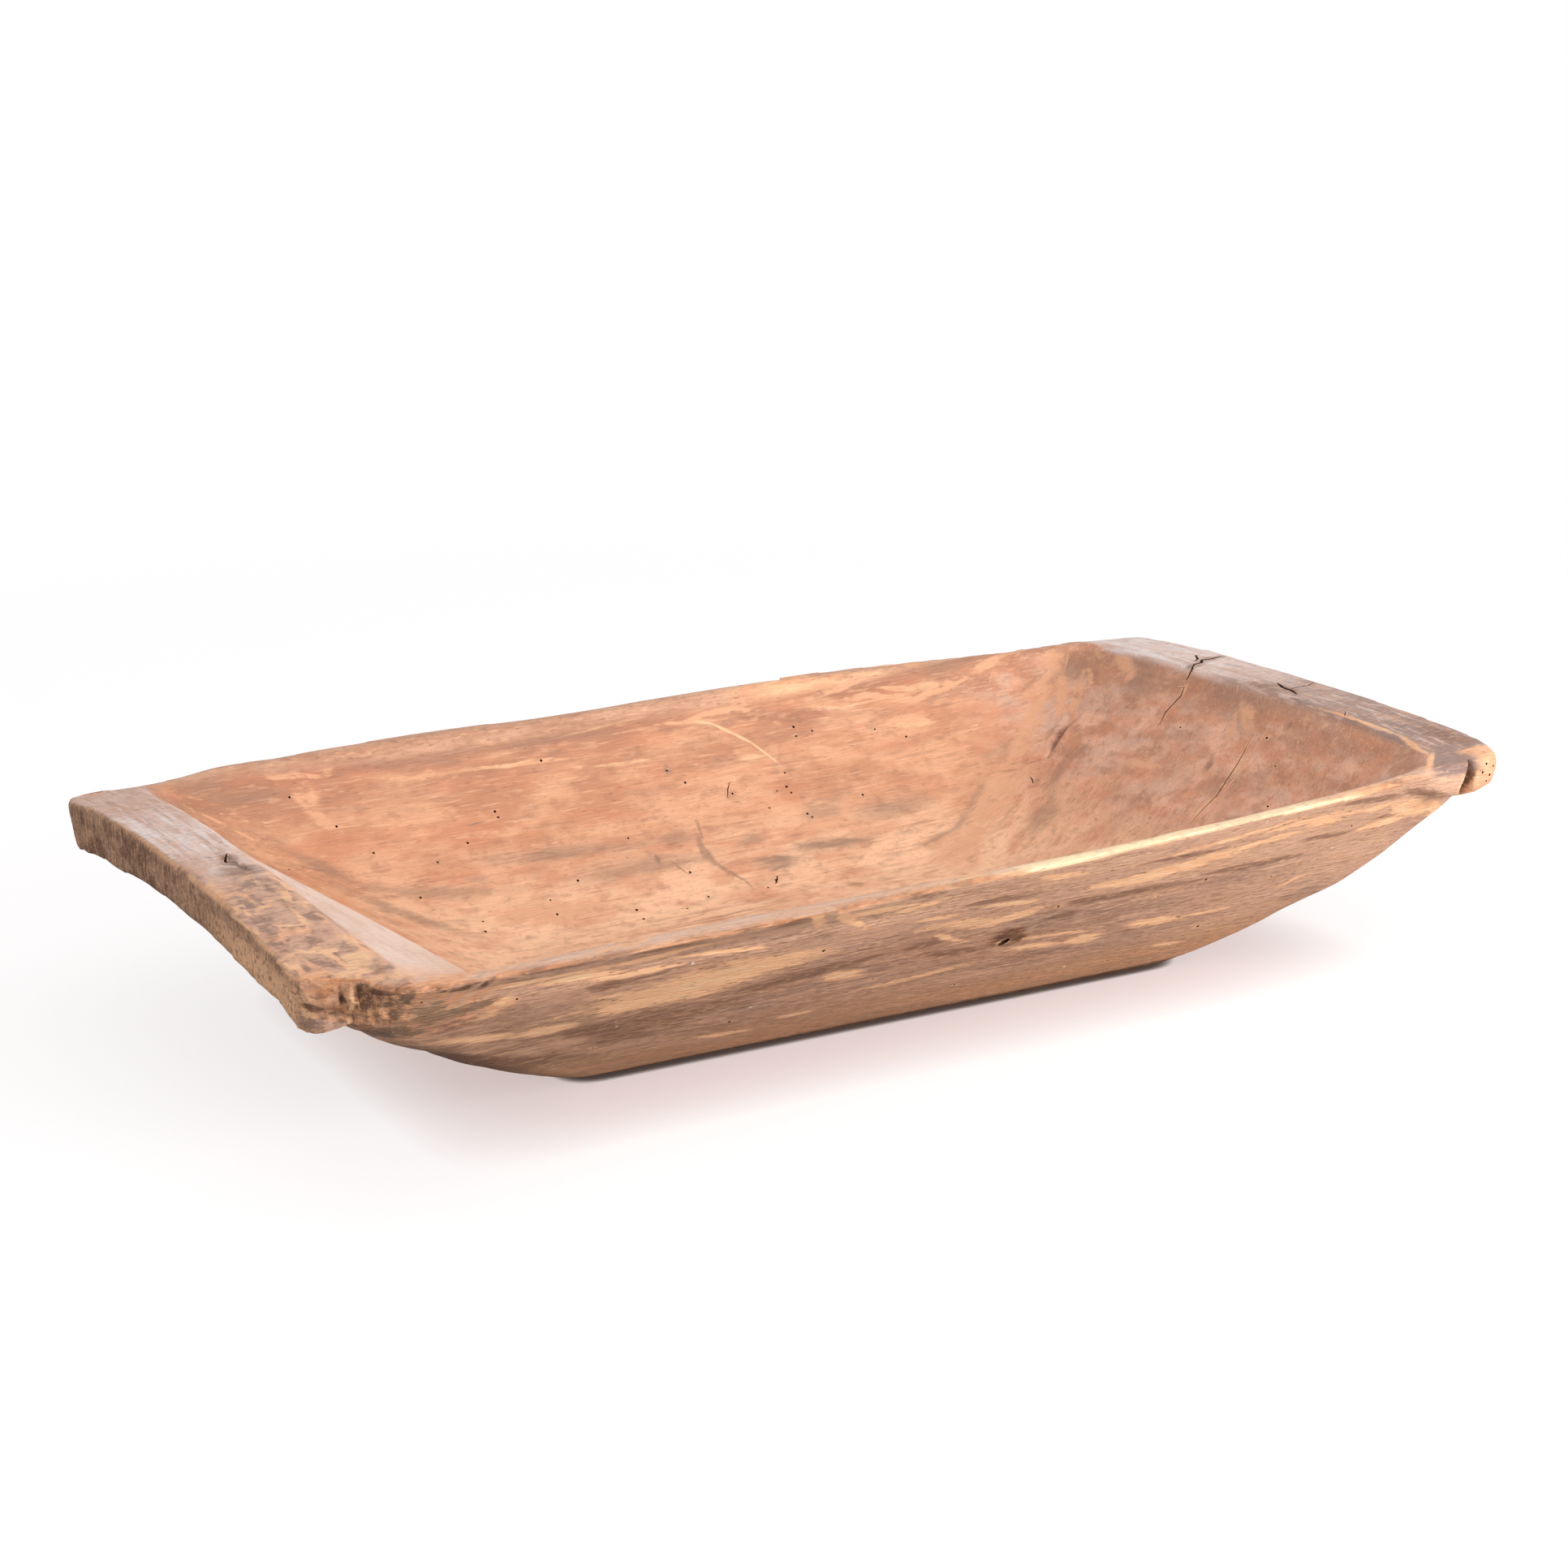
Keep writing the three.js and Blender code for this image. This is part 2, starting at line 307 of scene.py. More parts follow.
# %% Grab strokes: centre, reach and move in millimetres
GRABS = {
    "far rim lifts in the middle": ((-40, 236, 146), (300, 40, 26), (0, 0, 2.0)),
    "far rim towards the left": ((-235, 236, 146), (165, 40, 26), (0, 0, 2.6)),
    "far rim towards the right": ((150, 236, 146), (210, 40, 26), (0, 0, 2.8)),
    "step from far rim to left ledge": ((-336, 236, 150), (44, 34, 22), (0, 0, 2.8)),
    "left ledge hangs lower": ((-440, 150, 119), (44, 110, 16), (0, 0, -2.6)),
    "left ledge hangs lower, near half": ((-444, -110, 116), (40, 100, 18), (-1.5, 0, -2.6)),
    "near left tip hangs lower": ((-438, -202, 117), (36, 48, 16), (-1, -1, -5.2)),
    "far left tip leans out": ((-448, 222, 144), (26, 26, 22), (-3, 3, 0)),
    "hull below the near left tip": ((-388, -200, 96), (58, 54, 38), (-1.8, -1, -3.8)),
    "near right tip up": ((438, -175, 148), (46, 90, 26), (1.5, -0.8, 2.4)),
    "near right tip towards the viewer": ((442, -208, 142), (30, 26, 24), (2, -3.5, 0)),
    "near right tip, underside": ((448, -208, 112), (30, 44, 17), (-5, 3, 11)),
    "hull below the right end": ((398, -165, 92), (60, 90, 44), (1.2, -1.0, -1.8)),
    "hull below the right end, lower": ((352, -150, 66), (76, 100, 44), (1.6, -1.4, -3.2)),
    "far end of the right ledge": ((425, 225, 150), (54, 64, 34), (0, 0, -2.8)),
    "near rim, inner edge": ((-190, -222, 141), (340, 15, 30), (0, 8.5, 1.0)),
}

points = read_points(trough)
box_low, box_high = np.array(cad_box) * METRES_TO_MM
for stroke, (centre, radii, move) in GRABS.items():
    points += ball(points, centre, radii)[:, None] * np.array(move)
write_points(trough, np.clip(points, box_low, box_high))
print(len(GRABS), "grab strokes")

# %% [markdown]
# ## Rounded tips, an adze cut and a worn lip
# Two of the four tips have been handled until they are round. A Bevel modifier would need clean edges, which
# a remeshed skin no longer has, so the tips are smoothed over and over instead. The near left tip was cut off
# at a slant: an adze cut is a plane, and whatever stands in front of the plane goes. Last, the inner edge of
# the left ledge has been worn to a broad lip that widens towards the near corner, where the trough was poured
# from. The lip is a height over each point in plan, and the surface is raised to it where it lies lower.

# %% Round two tips, and the step beside one of them
ROUND_TIPS = {
    "far left": ((-449, 228, 134), (40, 36, 40), 14),
    "near right": ((449, -226, 134), (36, 32, 40), 150),
    "step beside the near right": ((380, -222, 126), (26, 26, 26), 70),
}
for tip, (centre, radii, rounds) in ROUND_TIPS.items():
    weigh(trough, np.minimum(ball(read_points(trough), centre, radii) * 3, 1))
    apply_modifier(trough, "SMOOTH", factor=0.5, iterations=rounds, vertex_group="zone")
    trough.vertex_groups.clear()
    print("rounded the", tip, "tip")


# %% Cut the near left tip with three strokes of the adze, and the far left one from below
def shave(points, place, facing, centre, radii):
    """Pushes points that stand in front of a plane back to it, in a soft-edged ball round the centre."""
    facing = np.array(facing, float) / np.linalg.norm(facing)
    proud = np.maximum((points - place) @ facing, 0)
    share = np.minimum(ball(points, centre, radii) * 4, 1)
    return points - facing * (share * proud)[:, None]


points = read_points(trough)
points = shave(points, (-449.5, -198, 130), (-0.55, -0.84, 0), (-440, -208, 130), (40, 34, 36))
points = shave(points, (-438, -206, 131), (-0.50, -0.76, 0.46), (-437, -208, 142), (30, 22, 19))
points = shave(points, (-440, 220, 143), (0, 0.80, -0.60), (-448, 214, 128), (42, 48, 46))
points = shave(points, (-442, -204, 118.6), (0.1, -0.1, -1), (-441, -206, 115), (26, 32, 20))
write_points(trough, points)

# %% Raise the worn lip inside the left ledge
LIP_INNER_X = -399
LIP_END_X = -300
LIP_TOP_MM = 148.4
LIP_FALL = 0.28
LIP_ROUNDING = 0.07
LIP_WIDTH_AT_Y = {40: 0, -9: 10, -49: 18, -84: 25, -118: 31, -160: 38, -210: 46}


def lip_height(x, y):
    """How high the lip lies, and how far past its width a point is, in mm."""
    places = sorted(LIP_WIDTH_AT_Y)
    width = np.interp(y, places, [LIP_WIDTH_AT_Y[place] for place in places])
    inward = x - LIP_INNER_X
    past = np.maximum(inward - width, 0)
    return LIP_TOP_MM - LIP_FALL * np.maximum(inward, 0) - LIP_ROUNDING * past ** 2, past


points = read_points(trough)
zones = find_zones(points, read_normals(trough))
height, past = lip_height(points[:, 0], points[:, 1])
raised = zones["hollow"] * np.maximum(height - points[:, 2], 0) * ease(60, 30, points[:, 1])
raised *= points[:, 0] < LIP_END_X
points[:, 2] += raised
write_points(trough, points)
print("lip raised by up to", round(float(raised.max()), 1), "mm")

# %% [markdown]
# ## Torn fibres
# At the near left the tip has split off along the grain and left a ragged end. Torn wood stands up in
# strands: thin ridges side by side, each broken off at its own depth. A noise that is fine across the strands
# and long along them gives that, and taking its distance from the middle value makes the ridges sharp.

# %% Tear the near left corner
def ridges(points, strand_mm, seed):
    """Sharp ridges of 0 to 1: noise with strands of the given size in mm along X, Y and Z."""
    scaled = points / np.array(strand_mm) + seed
    return np.array([1 - abs(noise.noise(Vector(p))) * 2.2 for p in scaled])


TEAR_CENTRE = (-418, -216, 131)
TEAR_REACH = (26, 24, 22)
points = read_points(trough)
normals = read_normals(trough)
zones = find_zones(points, normals)
near = np.flatnonzero(ball(points, TEAR_CENTRE, TEAR_REACH) > 0)
tear = ball(points[near], TEAR_CENTRE, TEAR_REACH) ** 0.5 * ease(0.75, 0.45, normals[near, 2])
depth = 1.1 * (ridges(points[near], (2.4, 4, 20), 3.7) - 0.75)
depth += 1.7 * (ridges(points[near], (7, 9, 24), 8.1) - 0.7)
points[near] += normals[near] * (tear * depth)[:, None]
write_points(trough, points)
print("torn:", len(near), "vertices, up to", round(float(np.abs(tear * depth).max()), 1), "mm")

# %% [markdown]
# ## Gouge marks, dents and scratches
# A slipped gouge leaves a groove that starts and ends in nothing, with a burr along its sides. Each one is
# drawn here as a line in plan, with a width and a depth, and only moves points of the surface it lies on.

# %% Cut the grooves and dents
BURR_SHARE = 0.3


def groove(points, normals, mask, start, end, width, depth):
    """Sinks points near a line from start to end, in plan, along their normals."""
    start, end = np.array(start, float), np.array(end, float)
    run = end - start
    along = np.clip(((points[:, :2] - start) @ run) / (run @ run), 0, 1)
    distance = np.linalg.norm(points[:, :2] - (start + along[:, None] * run), axis=1)
    fade = np.sin(np.pi * np.clip(along * 0.9 + 0.05, 0, 1)) ** 0.5
    trench = np.exp(-(distance / width) ** 2)
    burr = np.exp(-((distance - 1.8 * width) / (0.8 * width)) ** 2)
    profile = trench - BURR_SHARE * burr
    return points - normals * (mask * fade * profile * depth)[:, None]


GOUGES = [
    ((276, 146), (296, 134), 1.8, 1.5),
    ((281, 140), (303, 127), 1.8, 1.8),
    ((288, 133), (308, 121), 1.6, 1.6),
    ((271, 139), (288, 128), 1.5, 1.2),
    ((300, 149), (320, 138), 2.0, 1.0),
    ((306, 118), (322, 129), 2.2, 1.6),
    ((318, 127), (343, 137), 3.0, 3.6),
    ((330, 133), (345, 131), 2.6, 2.6),
    ((310, 102), (322, 88), 2.0, 0.8),
    ((345, 178), (376, 150), 3.0, 1.2),
    ((232, 88), (262, 101), 3.0, 0.7),
]
DENTS = [
    ((345, -27), 6, 4, 1.6),
    ((383, -71), 3.5, 3.5, 1.2),
    ((350, -99), 3, 8, 1.0),
    ((306, -3), 3, 10, 0.9),
    ((-42, 134), 5, 4, 0.8),
    ((-415, 5), 3.5, 8, 2.2),
    ((-412, -15), 2.5, 6, 1.8),
]
SIDE_DENTS = [
    (-428.5, 138, 2.0, 6, 2.6),
    (-420, 137, 1.8, 7, 3.0),
    (-415, 133, 1.8, 8, 2.2),
    (-446, 133, 5, 2.2, 2.6),
    (-439, 131, 5, 2.6, 4.0),
    (-432, 128.5, 5, 2.6, 4.2),
    (-426, 126, 4, 2.4, 3.0),
    (-407, 128, 3, 7, 1.6),
    (411.5, 140, 1.8, 7, 5.0),
    (410, 131, 2.8, 7, 7.0),
    (408.5, 124, 4.5, 6, 8.0),
]
points = read_points(trough)
normals = read_normals(trough)
zones = find_zones(points, normals)
inner = np.maximum(zones["hollow"], zones["ledge_top"])
for start, end, width, depth in GOUGES:
    points = groove(points, normals, inner, start, end, width, depth)
for (x, y), half_x, half_y, depth in DENTS:
    distance = ((points[:, 0] - x) / half_x) ** 2 + ((points[:, 1] - y) / half_y) ** 2
    points = points - normals * (inner * np.exp(-distance) * depth)[:, None]
near_side = ease(-0.25, -0.5, normals[:, 1]) * ease(-185, -195, points[:, 1])
for x, z, half_x, half_z, depth in SIDE_DENTS:
    distance = ((points[:, 0] - x) / half_x) ** 2 + ((points[:, 2] - z) / half_z) ** 2
    points[:, 1] += near_side * np.exp(-distance) * depth
write_points(trough, points)
print(len(GOUGES), "gouge marks,", len(DENTS) + len(SIDE_DENTS), "dents")

# %% [markdown]
# ## Fewer faces where nothing happens
# The skin now has far more faces than its flat parts need. Decimate collapses the edges that matter least
# and keeps the ones on ridges and marks, which leaves room for the cracks and worm holes that come next.

# %% Thin the skin out
TRIANGLES_KEPT = 176000


def count_triangles(piece):
    return sum(len(face.vertices) - 2 for face in piece.data.polygons)


triangles = count_triangles(trough)
apply_modifier(trough, "DECIMATE", ratio=TRIANGLES_KEPT / triangles)
print("triangles:", triangles, "->", count_triangles(trough))

# %% [markdown]
# ## Worm holes and cracks
# Woodworm leaves round flight holes of about 2 mm, and drying opens narrow cracks that run with the grain.
# Both are real openings with dark insides. They could be painted on, but a painted hole stays flat when the
# eye moves. So cones and blades are made as cutters, and one Boolean takes them all out of the wood. The
# cutters carry a dark material, which the Boolean hands on to the walls it cuts.

# %% Holes: where each one is, seen from above or from the near side, and some at random from behind
HOLES_IN_HOLLOW = [
    (-296, 204), (-270, 186), (-207, 158), (-180, 166), (-231, 137), (-197, 102), (-194, 113),
    (-138, 120), (-138, 109), (-150, 181), (-149, 177), (-57, 151), (-22, 120), (-20, 99), (-42, 91),
    (-79, 99), (-79, 89), (-3, 188), (7, 179), (42, 167), (40, 101), (67, 153), (80, 163), (89, 165),
    (90, 160), (94, 174), (96, 145), (98, 141), (117, 195), (118, 200), (133, 196), (188, 189),
    (212, 180), (30, 96), (-110, 130), (-250, 168), (150, 150), (-320, 150), (358, -86), (333, -107),
    (372, -60), (285, 110), (362, 25), (-100, 205),
]
HOLES_IN_SIDE = [
    (-330, 120), (-250, 50), (-155, 47), (-120, 104), (-60, 62), (60, 98), (150, 86), (187, 92), (255, 80),
    (310, 112), (-390, 133), (-402, 112), (20, 34), (215, 42),
]
HOLES_IN_RIGHT_TIP = [(422, 136), (428, 128), (434, 138), (437, 130), (426, 141), (431, 133)]
HOLE_RADIUS_MM = (0.8, 1.3)
HOLE_DEPTH_MM = 7
HOLE_SLANT = 0.35
HOLES_BEHIND = 26
ABOVE_MM, BESIDE_MM = 400, 600

random.seed(7)
cutters = []


def cast(origin, direction):
    """Where a ray from a point in mm first meets the trough, with the surface's direction there."""
    hit, place, normal, _ = trough.ray_cast(Vector(origin) / METRES_TO_MM, Vector(direction))
    return (place, normal) if hit else None


def drill(found):
    """Stands a narrow cone in the surface, as a cutter for one worm hole."""
    place, normal = found
    radius = random.uniform(*HOLE_RADIUS_MM) / METRES_TO_MM
    depth = HOLE_DEPTH_MM / METRES_TO_MM
    slant = normal + Vector([random.uniform(-HOLE_SLANT, HOLE_SLANT) for _ in range(3)])
    bpy.ops.mesh.primitive_cone_add(
        vertices=9, radius1=radius * 0.7, radius2=radius, depth=depth * 1.4,
        location=place - normal * depth * 0.3, rotation=slant.to_track_quat("Z", "Y").to_euler(),
    )
    cutters.append(bpy.context.object)


deselect_all()
bpy.context.view_layer.update()
for x, y in HOLES_IN_HOLLOW:
    drill(cast((x, y, ABOVE_MM), (0, 0, -1)))
for x, z in HOLES_IN_SIDE + HOLES_IN_RIGHT_TIP:
    drill(cast((x, -BESIDE_MM, z), (0, 1, 0)))
for _ in range(HOLES_BEHIND):
    x, z = random.uniform(-340, 340), random.uniform(25, 130)
    found = cast((x, BESIDE_MM, z), (0, -1, 0))
    if found:
        drill(found)
print(len(cutters), "worm holes")

# %% Blades for the cracks
CRACKS = {
    "long crack in the right end": (
        [(302, -59), (315, -57), (328, -57.5), (340, -54), (350, -52), (361, -49), (371, -46)], 0.55, 7),
    "crack from the right ledge down": (
        [(384, 57), (386, 50), (380, 47), (368, 50), (360, 47)], 0.7, 7),
    "split across the right ledge": (
        [(391, 53), (399, 56), (406, 62), (414, 63), (420, 69), (430, 68), (441, 71)], 1.6, 9),
    "split at its side": ([(414, 70), (420, 74), (424, 80), (427, 85)], 1.3, 6),
    "short split along the right ledge": ([(409, -51), (413, -41), (414, -30), (419, -19)], 1.9, 7),
    "its fine end": ([(413, -38), (424, -36), (434, -37), (446, -31)], 0.8, 5),
    "check by the knot": ([(-417, -2), (-415, 6), (-411, 14)], 1.1, 5),
    "check in the floor": ([(37, 165), (40, 170), (44, 174)], 0.6, 3),
    "check below the stain": ([(38, 98), (41, 101), (43, 104)], 0.9, 4),
    "dark check at the crease": ([(284, 107), (286, 111), (287, 115)], 0.8, 4),
    "nick in the right ledge": ([(401, -110), (406, -106)], 0.8, 3),
}


def blade(path, half_width, depth):
    """A thin four-sided blade that stands in the surface along a path in plan, with pointed ends."""
    stations = []
    for x, y in path:
        found = cast((x, y, ABOVE_MM), (0, 0, -1))
        stations.append((found[0] * METRES_TO_MM, found[1]))
    corners = []
    for i, (place, normal) in enumerate(stations):
        before, after = stations[max(i - 1, 0)][0], stations[min(i + 1, len(stations) - 1)][0]
        side = normal.cross(after - before).normalized()
        share = math.sin(math.pi * (i + 0.35) / (len(stations) - 0.3))
        half = half_width * (0.25 + 0.75 * share)
        sink = depth * (0.3 + 0.7 * share)
        corners += [place + side * half + normal * 2.5, place - side * half + normal * 2.5,
                    place - side * half * 0.6 - normal * sink * 0.5, place - normal * sink,
                    place + side * half * 0.6 - normal * sink * 0.5]
    ring = 5
    faces = [tuple(reversed(range(ring))), tuple(range(len(corners) - ring, len(corners)))]
    for i in range(len(stations) - 1):
        for k in range(ring):
            low, next_low = i * ring + k, i * ring + (k + 1) % ring
            faces.append((low, next_low, next_low + ring, low + ring))
    mesh = bpy.data.meshes.new("blade")
    mesh.from_pydata([corner / METRES_TO_MM for corner in corners], [], faces)
    piece = bpy.data.objects.new("blade", mesh)
    bpy.context.scene.collection.objects.link(piece)
    edit_whole(piece, bpy.ops.mesh.normals_make_consistent, inside=False)
    return piece


for path, half_width, depth in CRACKS.values():
    cutters.append(blade(path, half_width, depth))
print(len(CRACKS), "cracks")

# %% The knot hole in the near side
KNOT_HOLE = (34, 72)
KNOT_HALF_SIZES = (0.0044, 0.005, 0.0028)
KNOT_TILT = 35
place, normal = cast((KNOT_HOLE[0], -BESIDE_MM, KNOT_HOLE[1]), (0, 1, 0))
deselect_all()
bpy.ops.mesh.primitive_ico_sphere_add(subdivisions=3, radius=1, location=place)
bpy.ops.transform.resize(value=KNOT_HALF_SIZES)
bpy.ops.transform.rotate(value=math.radians(KNOT_TILT), orient_axis="Y", center_override=place)
knot_hole = bpy.context.object
apply_modifier(knot_hole, "DISPLACE", strength=0.3, mid_level=0.5,
               texture=bpy.data.textures.new("rough", "CLOUDS"), texture_coords="GLOBAL")
cutters.append(knot_hole)

# %% Take all the cutters out of the wood
hole_material = bpy.data.materials.new("dark_hole_walls")
deselect_all()
for cutter in cutters:
    cutter.data.materials.clear()
    cutter.data.materials.append(hole_material)
    cutter.select_set(True)
bpy.context.view_layer.objects.active = cutters[0]
bpy.ops.object.join()
cutter = bpy.context.object
apply_modifier(trough, "BOOLEAN", operation="DIFFERENCE", solver="MANIFOLD", object=cutter,
               material_mode="TRANSFER")
bpy.data.objects.remove(cutter)
write_points(trough, np.clip(read_points(trough), box_low, box_high))
print("after the cuts:", count_triangles(trough), "triangles")

# %% [markdown]
# ## Where wear falls
# Skin is rubbed off edges and stays in hollows. A material can't feel an edge by itself, so the mesh measures
# it: each point is compared with a smoothed copy of the surface. A point that stands proud of the copy is on
# an edge, and one that lies below it is in a groove. These shares, and the zones, are stored as attributes,
# which a material reads by name.

# %% Store the zones and the worn edges as attributes
EDGE_ROUNDS = 9


def relaxed(points, edges, rounds):
    """The points after each has moved halfway to the mean of its neighbours, so many times over."""
    count = np.bincount(edges.ravel(), minlength=len(points))[:, None]
    for _ in range(rounds):
        total = np.stack([
            np.bincount(edges[:, 0], points[edges[:, 1], axis], len(points))
            + np.bincount(edges[:, 1], points[edges[:, 0], axis], len(points))
            for axis in range(3)
        ], axis=1)
        points = (points + total / np.maximum(count, 1)) / 2
    return points


def store(piece, name, values):
    attribute = piece.data.attributes.get(name) or piece.data.attributes.new(name, "FLOAT", "POINT")
    attribute.data.foreach_set("value", np.asarray(values, np.float32))


points = read_points(trough)
normals = read_normals(trough)
ends = np.empty(len(trough.data.edges) * 2, np.int32)
trough.data.edges.foreach_get("vertices", ends)
bulge = ((points - relaxed(points, ends.reshape(-1, 2), EDGE_ROUNDS)) * normals).sum(1)
zones = find_zones(points, normals)
for name, share in zones.items():
    store(trough, name, share)
store(trough, "worn_edge", ease(0.25, 1.3, bulge))
store(trough, "recess", ease(0.12, 0.9, -bulge))
height, past = lip_height(points[:, 0], points[:, 1])
on_lip = ease(-5, -1, points[:, 2] - height) * ease(14, 2, past) * ease(50, 20, points[:, 1])
lip_along_x = ease(1, 5, points[:, 0] - LIP_INNER_X) * ease(LIP_END_X, LIP_END_X - 30, points[:, 0])
on_lip *= lip_along_x * ease(-223, -217, points[:, 1])
zones["hollow"] = np.maximum(zones["hollow"], on_lip)
store(trough, "hollow", zones["hollow"])
store(trough, "lip", on_lip)
near_rim = ease(-190, -200, points[:, 1]) * ease(126, 133, points[:, 2]) * (1 - zones["end_face"])
store(trough, "rim_outer", near_rim * ease(0.0, -0.4, normals[:, 1]) * ease(-0.35, -0.1, normals[:, 2]))
store(trough, "torn", ball(points, (-416, -215, 130), (33, 24, 26)) ** 0.5 * ease(0.8, 0.4, normals[:, 2]))
arris = ease(0.5, 0.6, normals[:, 2]) * ease(0.86, 0.74, normals[:, 2]) * ease(-0.2, -0.45, normals[:, 0])
store(trough, "left_arris", arris * ease(-425, -434, points[:, 0]) * ease(140, 50, points[:, 1]))
print("proud of the surface by up to", round(float(bulge.max()), 2), "mm; sunk by",
      round(float(-bulge.min()), 2))

# %% [markdown]
# Wide soft patches are brushed on in the same way: each is an oval with its middle, its half sizes and its
# tilt, in millimetres and degrees. The mesh keeps how far each point is from the nearest oval, where 1 is
# the edge, and the material turns that into a patch with a frayed edge. The points are 3 to 4 mm apart, so
# this is only for patches wider than that. Thin streaks are drawn by the material itself.

# %% Brush the wide soft patches on the mesh
WASHES = {
    "tan_side": ("side", [
        (-330, 76, 60, 6, -22), (-270, 60, 60, 7, -24), (-200, 40, 60, 6, -14), (-60, 62, 60, 7, 3),
        (60, 42, 90, 7, 0), (230, 44, 60, 6, 6), (330, 88, 60, 7, 14), (-180, 133, 60, 4, 2),
        (90, 121, 60, 6, 0), (330, 116, 60, 8, 2), (220, 104, 70, 6, -2), (-280, 113, 40, 5, 0),
        (-90, 112, 30, 7, 0), (0, 124, 40, 6, 0),
    ]),
    "dark_side": ("side", [
        (-386, 119, 13, 10, -20), (-364, 113, 15, 7, -25), (-405, 126, 6, 8, 0), (-392, 141, 10, 4, 0),
        (-270, 114, 16, 4, 0), (32, 78, 15, 8, -10), (36, 72, 8, 5, -30), (-8, 74, 26, 4, -6),
        (-36, 88, 20, 5, 0), (-130, 82, 50, 5, 4),
    ]),
    "stains": ("plan", [
        (56, 114, 20, 5, 0), (86, 121, 18, 5.5, 0), (118, 119, 26, 4, 0), (107, 144, 14, 6, 0),
        (-43, 134, 5, 4, 0), (-21, 145, 14, 5, 0), (38, 134, 12, 4, 0), (-110, 150, 60, 4, -3),
        (-60, 130, 50, 5, 0), (170, 137, 30, 6, 0), (-220, 140, 50, 4, -8), (-250, 120, 40, 6, -30),
        (240, 124, 16, 3.4, 32), (219, 113, 16, 3.4, 25), (193, 107, 18, 2.8, 10), (-290, 160, 26, 5, -30),
        (-360, 214, 16, 5, 0), (-330, 206, 30, 4, 0), (-190, 217, 50, 5, 0), (-90, 217, 40, 3, 0),
        (270, 212, 40, 4, -4), (262, 68, 16, 10, 30), (300, 96, 18, 6, 25), (322, 98, 10, 3, -10),
        (-2, 188, 4, 2.4, 0), (380, 95, 10, 16, 0), (372, 165, 9, 16, 25), (394, 120, 5, 30, 0),
        (392, -10, 7, 40, 0),
    ]),
    "pale_hollow": ("plan", [
        (-285, 203, 8, 6, 0), (-280, 191, 10, 4, -30), (365, 188, 8, 9, 0), (344, 180, 18, 4, 6),
        (330, 166, 26, 4.5, 22), (312, 153, 20, 7, 24), (296, 143, 26, 5, 30), (270, 133, 18, 6, 20),
        (262, 121, 34, 9, 12), (240, 104, 40, 11, 22), (215, 92, 36, 9, 20), (355, 145, 22, 4, 40),
        (350, 158, 20, 4, 50), (388, 122, 4, 11, -10), (393, 135, 4, 9, 0), (383, 112, 6, 4, 0),
        (-140, 112, 40, 7, 0), (380, -30, 14, 5, 60),
    ]),
    "dark_ledge": ("plan", [
        (430, -180, 9, 22, 0), (436, -196, 8, 8, 0), (-414, 3, 5, 10, -14), (-411, -16, 4, 8, 0),
        (425, 68, 18, 6, 0), (404, 60, 6, 6, 0), (414, -36, 4, 18, -8), (404, -20, 4, 14, 0),
        (-415, -22, 12, 10, 0),
    ]),
    # Bare wood on the near rim, with a painted highlight on it.
    "rim_bare_and_highlight_wash": ("side", [
        (165, 138.5, 120, 4.5, 0), (238, 138.5, 80, 3.4, -1), (60, 139, 60, 3, 0),
    ]),
    "worn_corner": ("side", [
        (-408, 124, 34, 20, 0), (-376, 126, 30, 14, -12),
    ]),
}


def reach_of(points, plane, ovals):
    """How far each point is from the nearest oval, as a share of its half size, and 2 at most."""
    across = {"side": points[:, [0, 2]], "plan": points[:, [0, 1]]}[plane]
    nearest = np.full(len(points), 2.0)
    for u, v, half_u, half_v, tilt in ovals:
        turned = math.radians(tilt)
        offset = across - (u, v)
        along = (offset[:, 0] * math.cos(turned) + offset[:, 1] * math.sin(turned)) / half_u
        over = (offset[:, 1] * math.cos(turned) - offset[:, 0] * math.sin(turned)) / half_v
        nearest = np.minimum(nearest, np.hypot(along, over))
    return nearest


for name, (plane, ovals) in WASHES.items():
    store(trough, name, reach_of(points, plane, ovals))
print("soft patches:", {name: len(ovals) for name, (plane, ovals) in WASHES.items()})

# %% [markdown]
# ## The wood
# Poplar and lime are pale, close-grained and almost without figure, so the colour of an old piece is nearly
# all patina: a brown skin of smoke, grease and touch, over orange wood that has darkened with age, over the
# light wood that shows where the skin is gone. The material is built in the same order, coat over coat, each
# coat with a mask that says where it lies. The masks come from three sources: the attributes of the mesh,
# noise whose cells have real sizes in millimetres, and brush marks placed one by one for the patches that
# make this trough itself. The colours are sRGB hex values, which one function turns to linear.

# %% Tones, and the one function that adds a node
TONES = {
    "lens": "#FFC496", "bare": "#F6C296", "bare_bright_and_highlight": "#FFE0B6", "bare_orange": "#E8A47A",
    "tan": "#D6A486",
    "patina": "#C28F72", "patina_dark": "#805740", "patina_grey": "#A68270", "patina_light": "#DFAF92",
    "patina_warm": "#CC9875", "rim_brown": "#80451F", "rim_orange": "#C27A48", "rim_skin_and_lip_sheen": "#DDB7A2",
    "hollow": "#CA8D69", "hollow_light": "#E6AC86", "hollow_floor": "#FFCCA6", "hollow_brown": "#AF795C",
    "hollow_red": "#D38A66", "stain": "#9C7862", "end_wall": "#F2BB9E", "end_wall_grey": "#DAB09A",
    "ledge": "#CEA492", "ledge_pale": "#E4C6BA", "ledge_grey": "#A68072", "ledge_dull": "#94766B",
    "ledge_warm": "#CE9C82", "tip": "#E9AB84",
    "ledge_painted_sheen": "#F0E2E0", "lip_painted_sheen": "#E9CBBB", "moss_brown": "#7F6650",
    "end_grain": "#B38A70", "end_grain_dark": "#7A5540", "end_grain_warm": "#F4BE94",
    "torn_dark_and_shade": "#5C3B29", "torn_light": "#CF9B72", "speck": "#FFF3E6", "pore_and_shade": "#5A3A28",
}


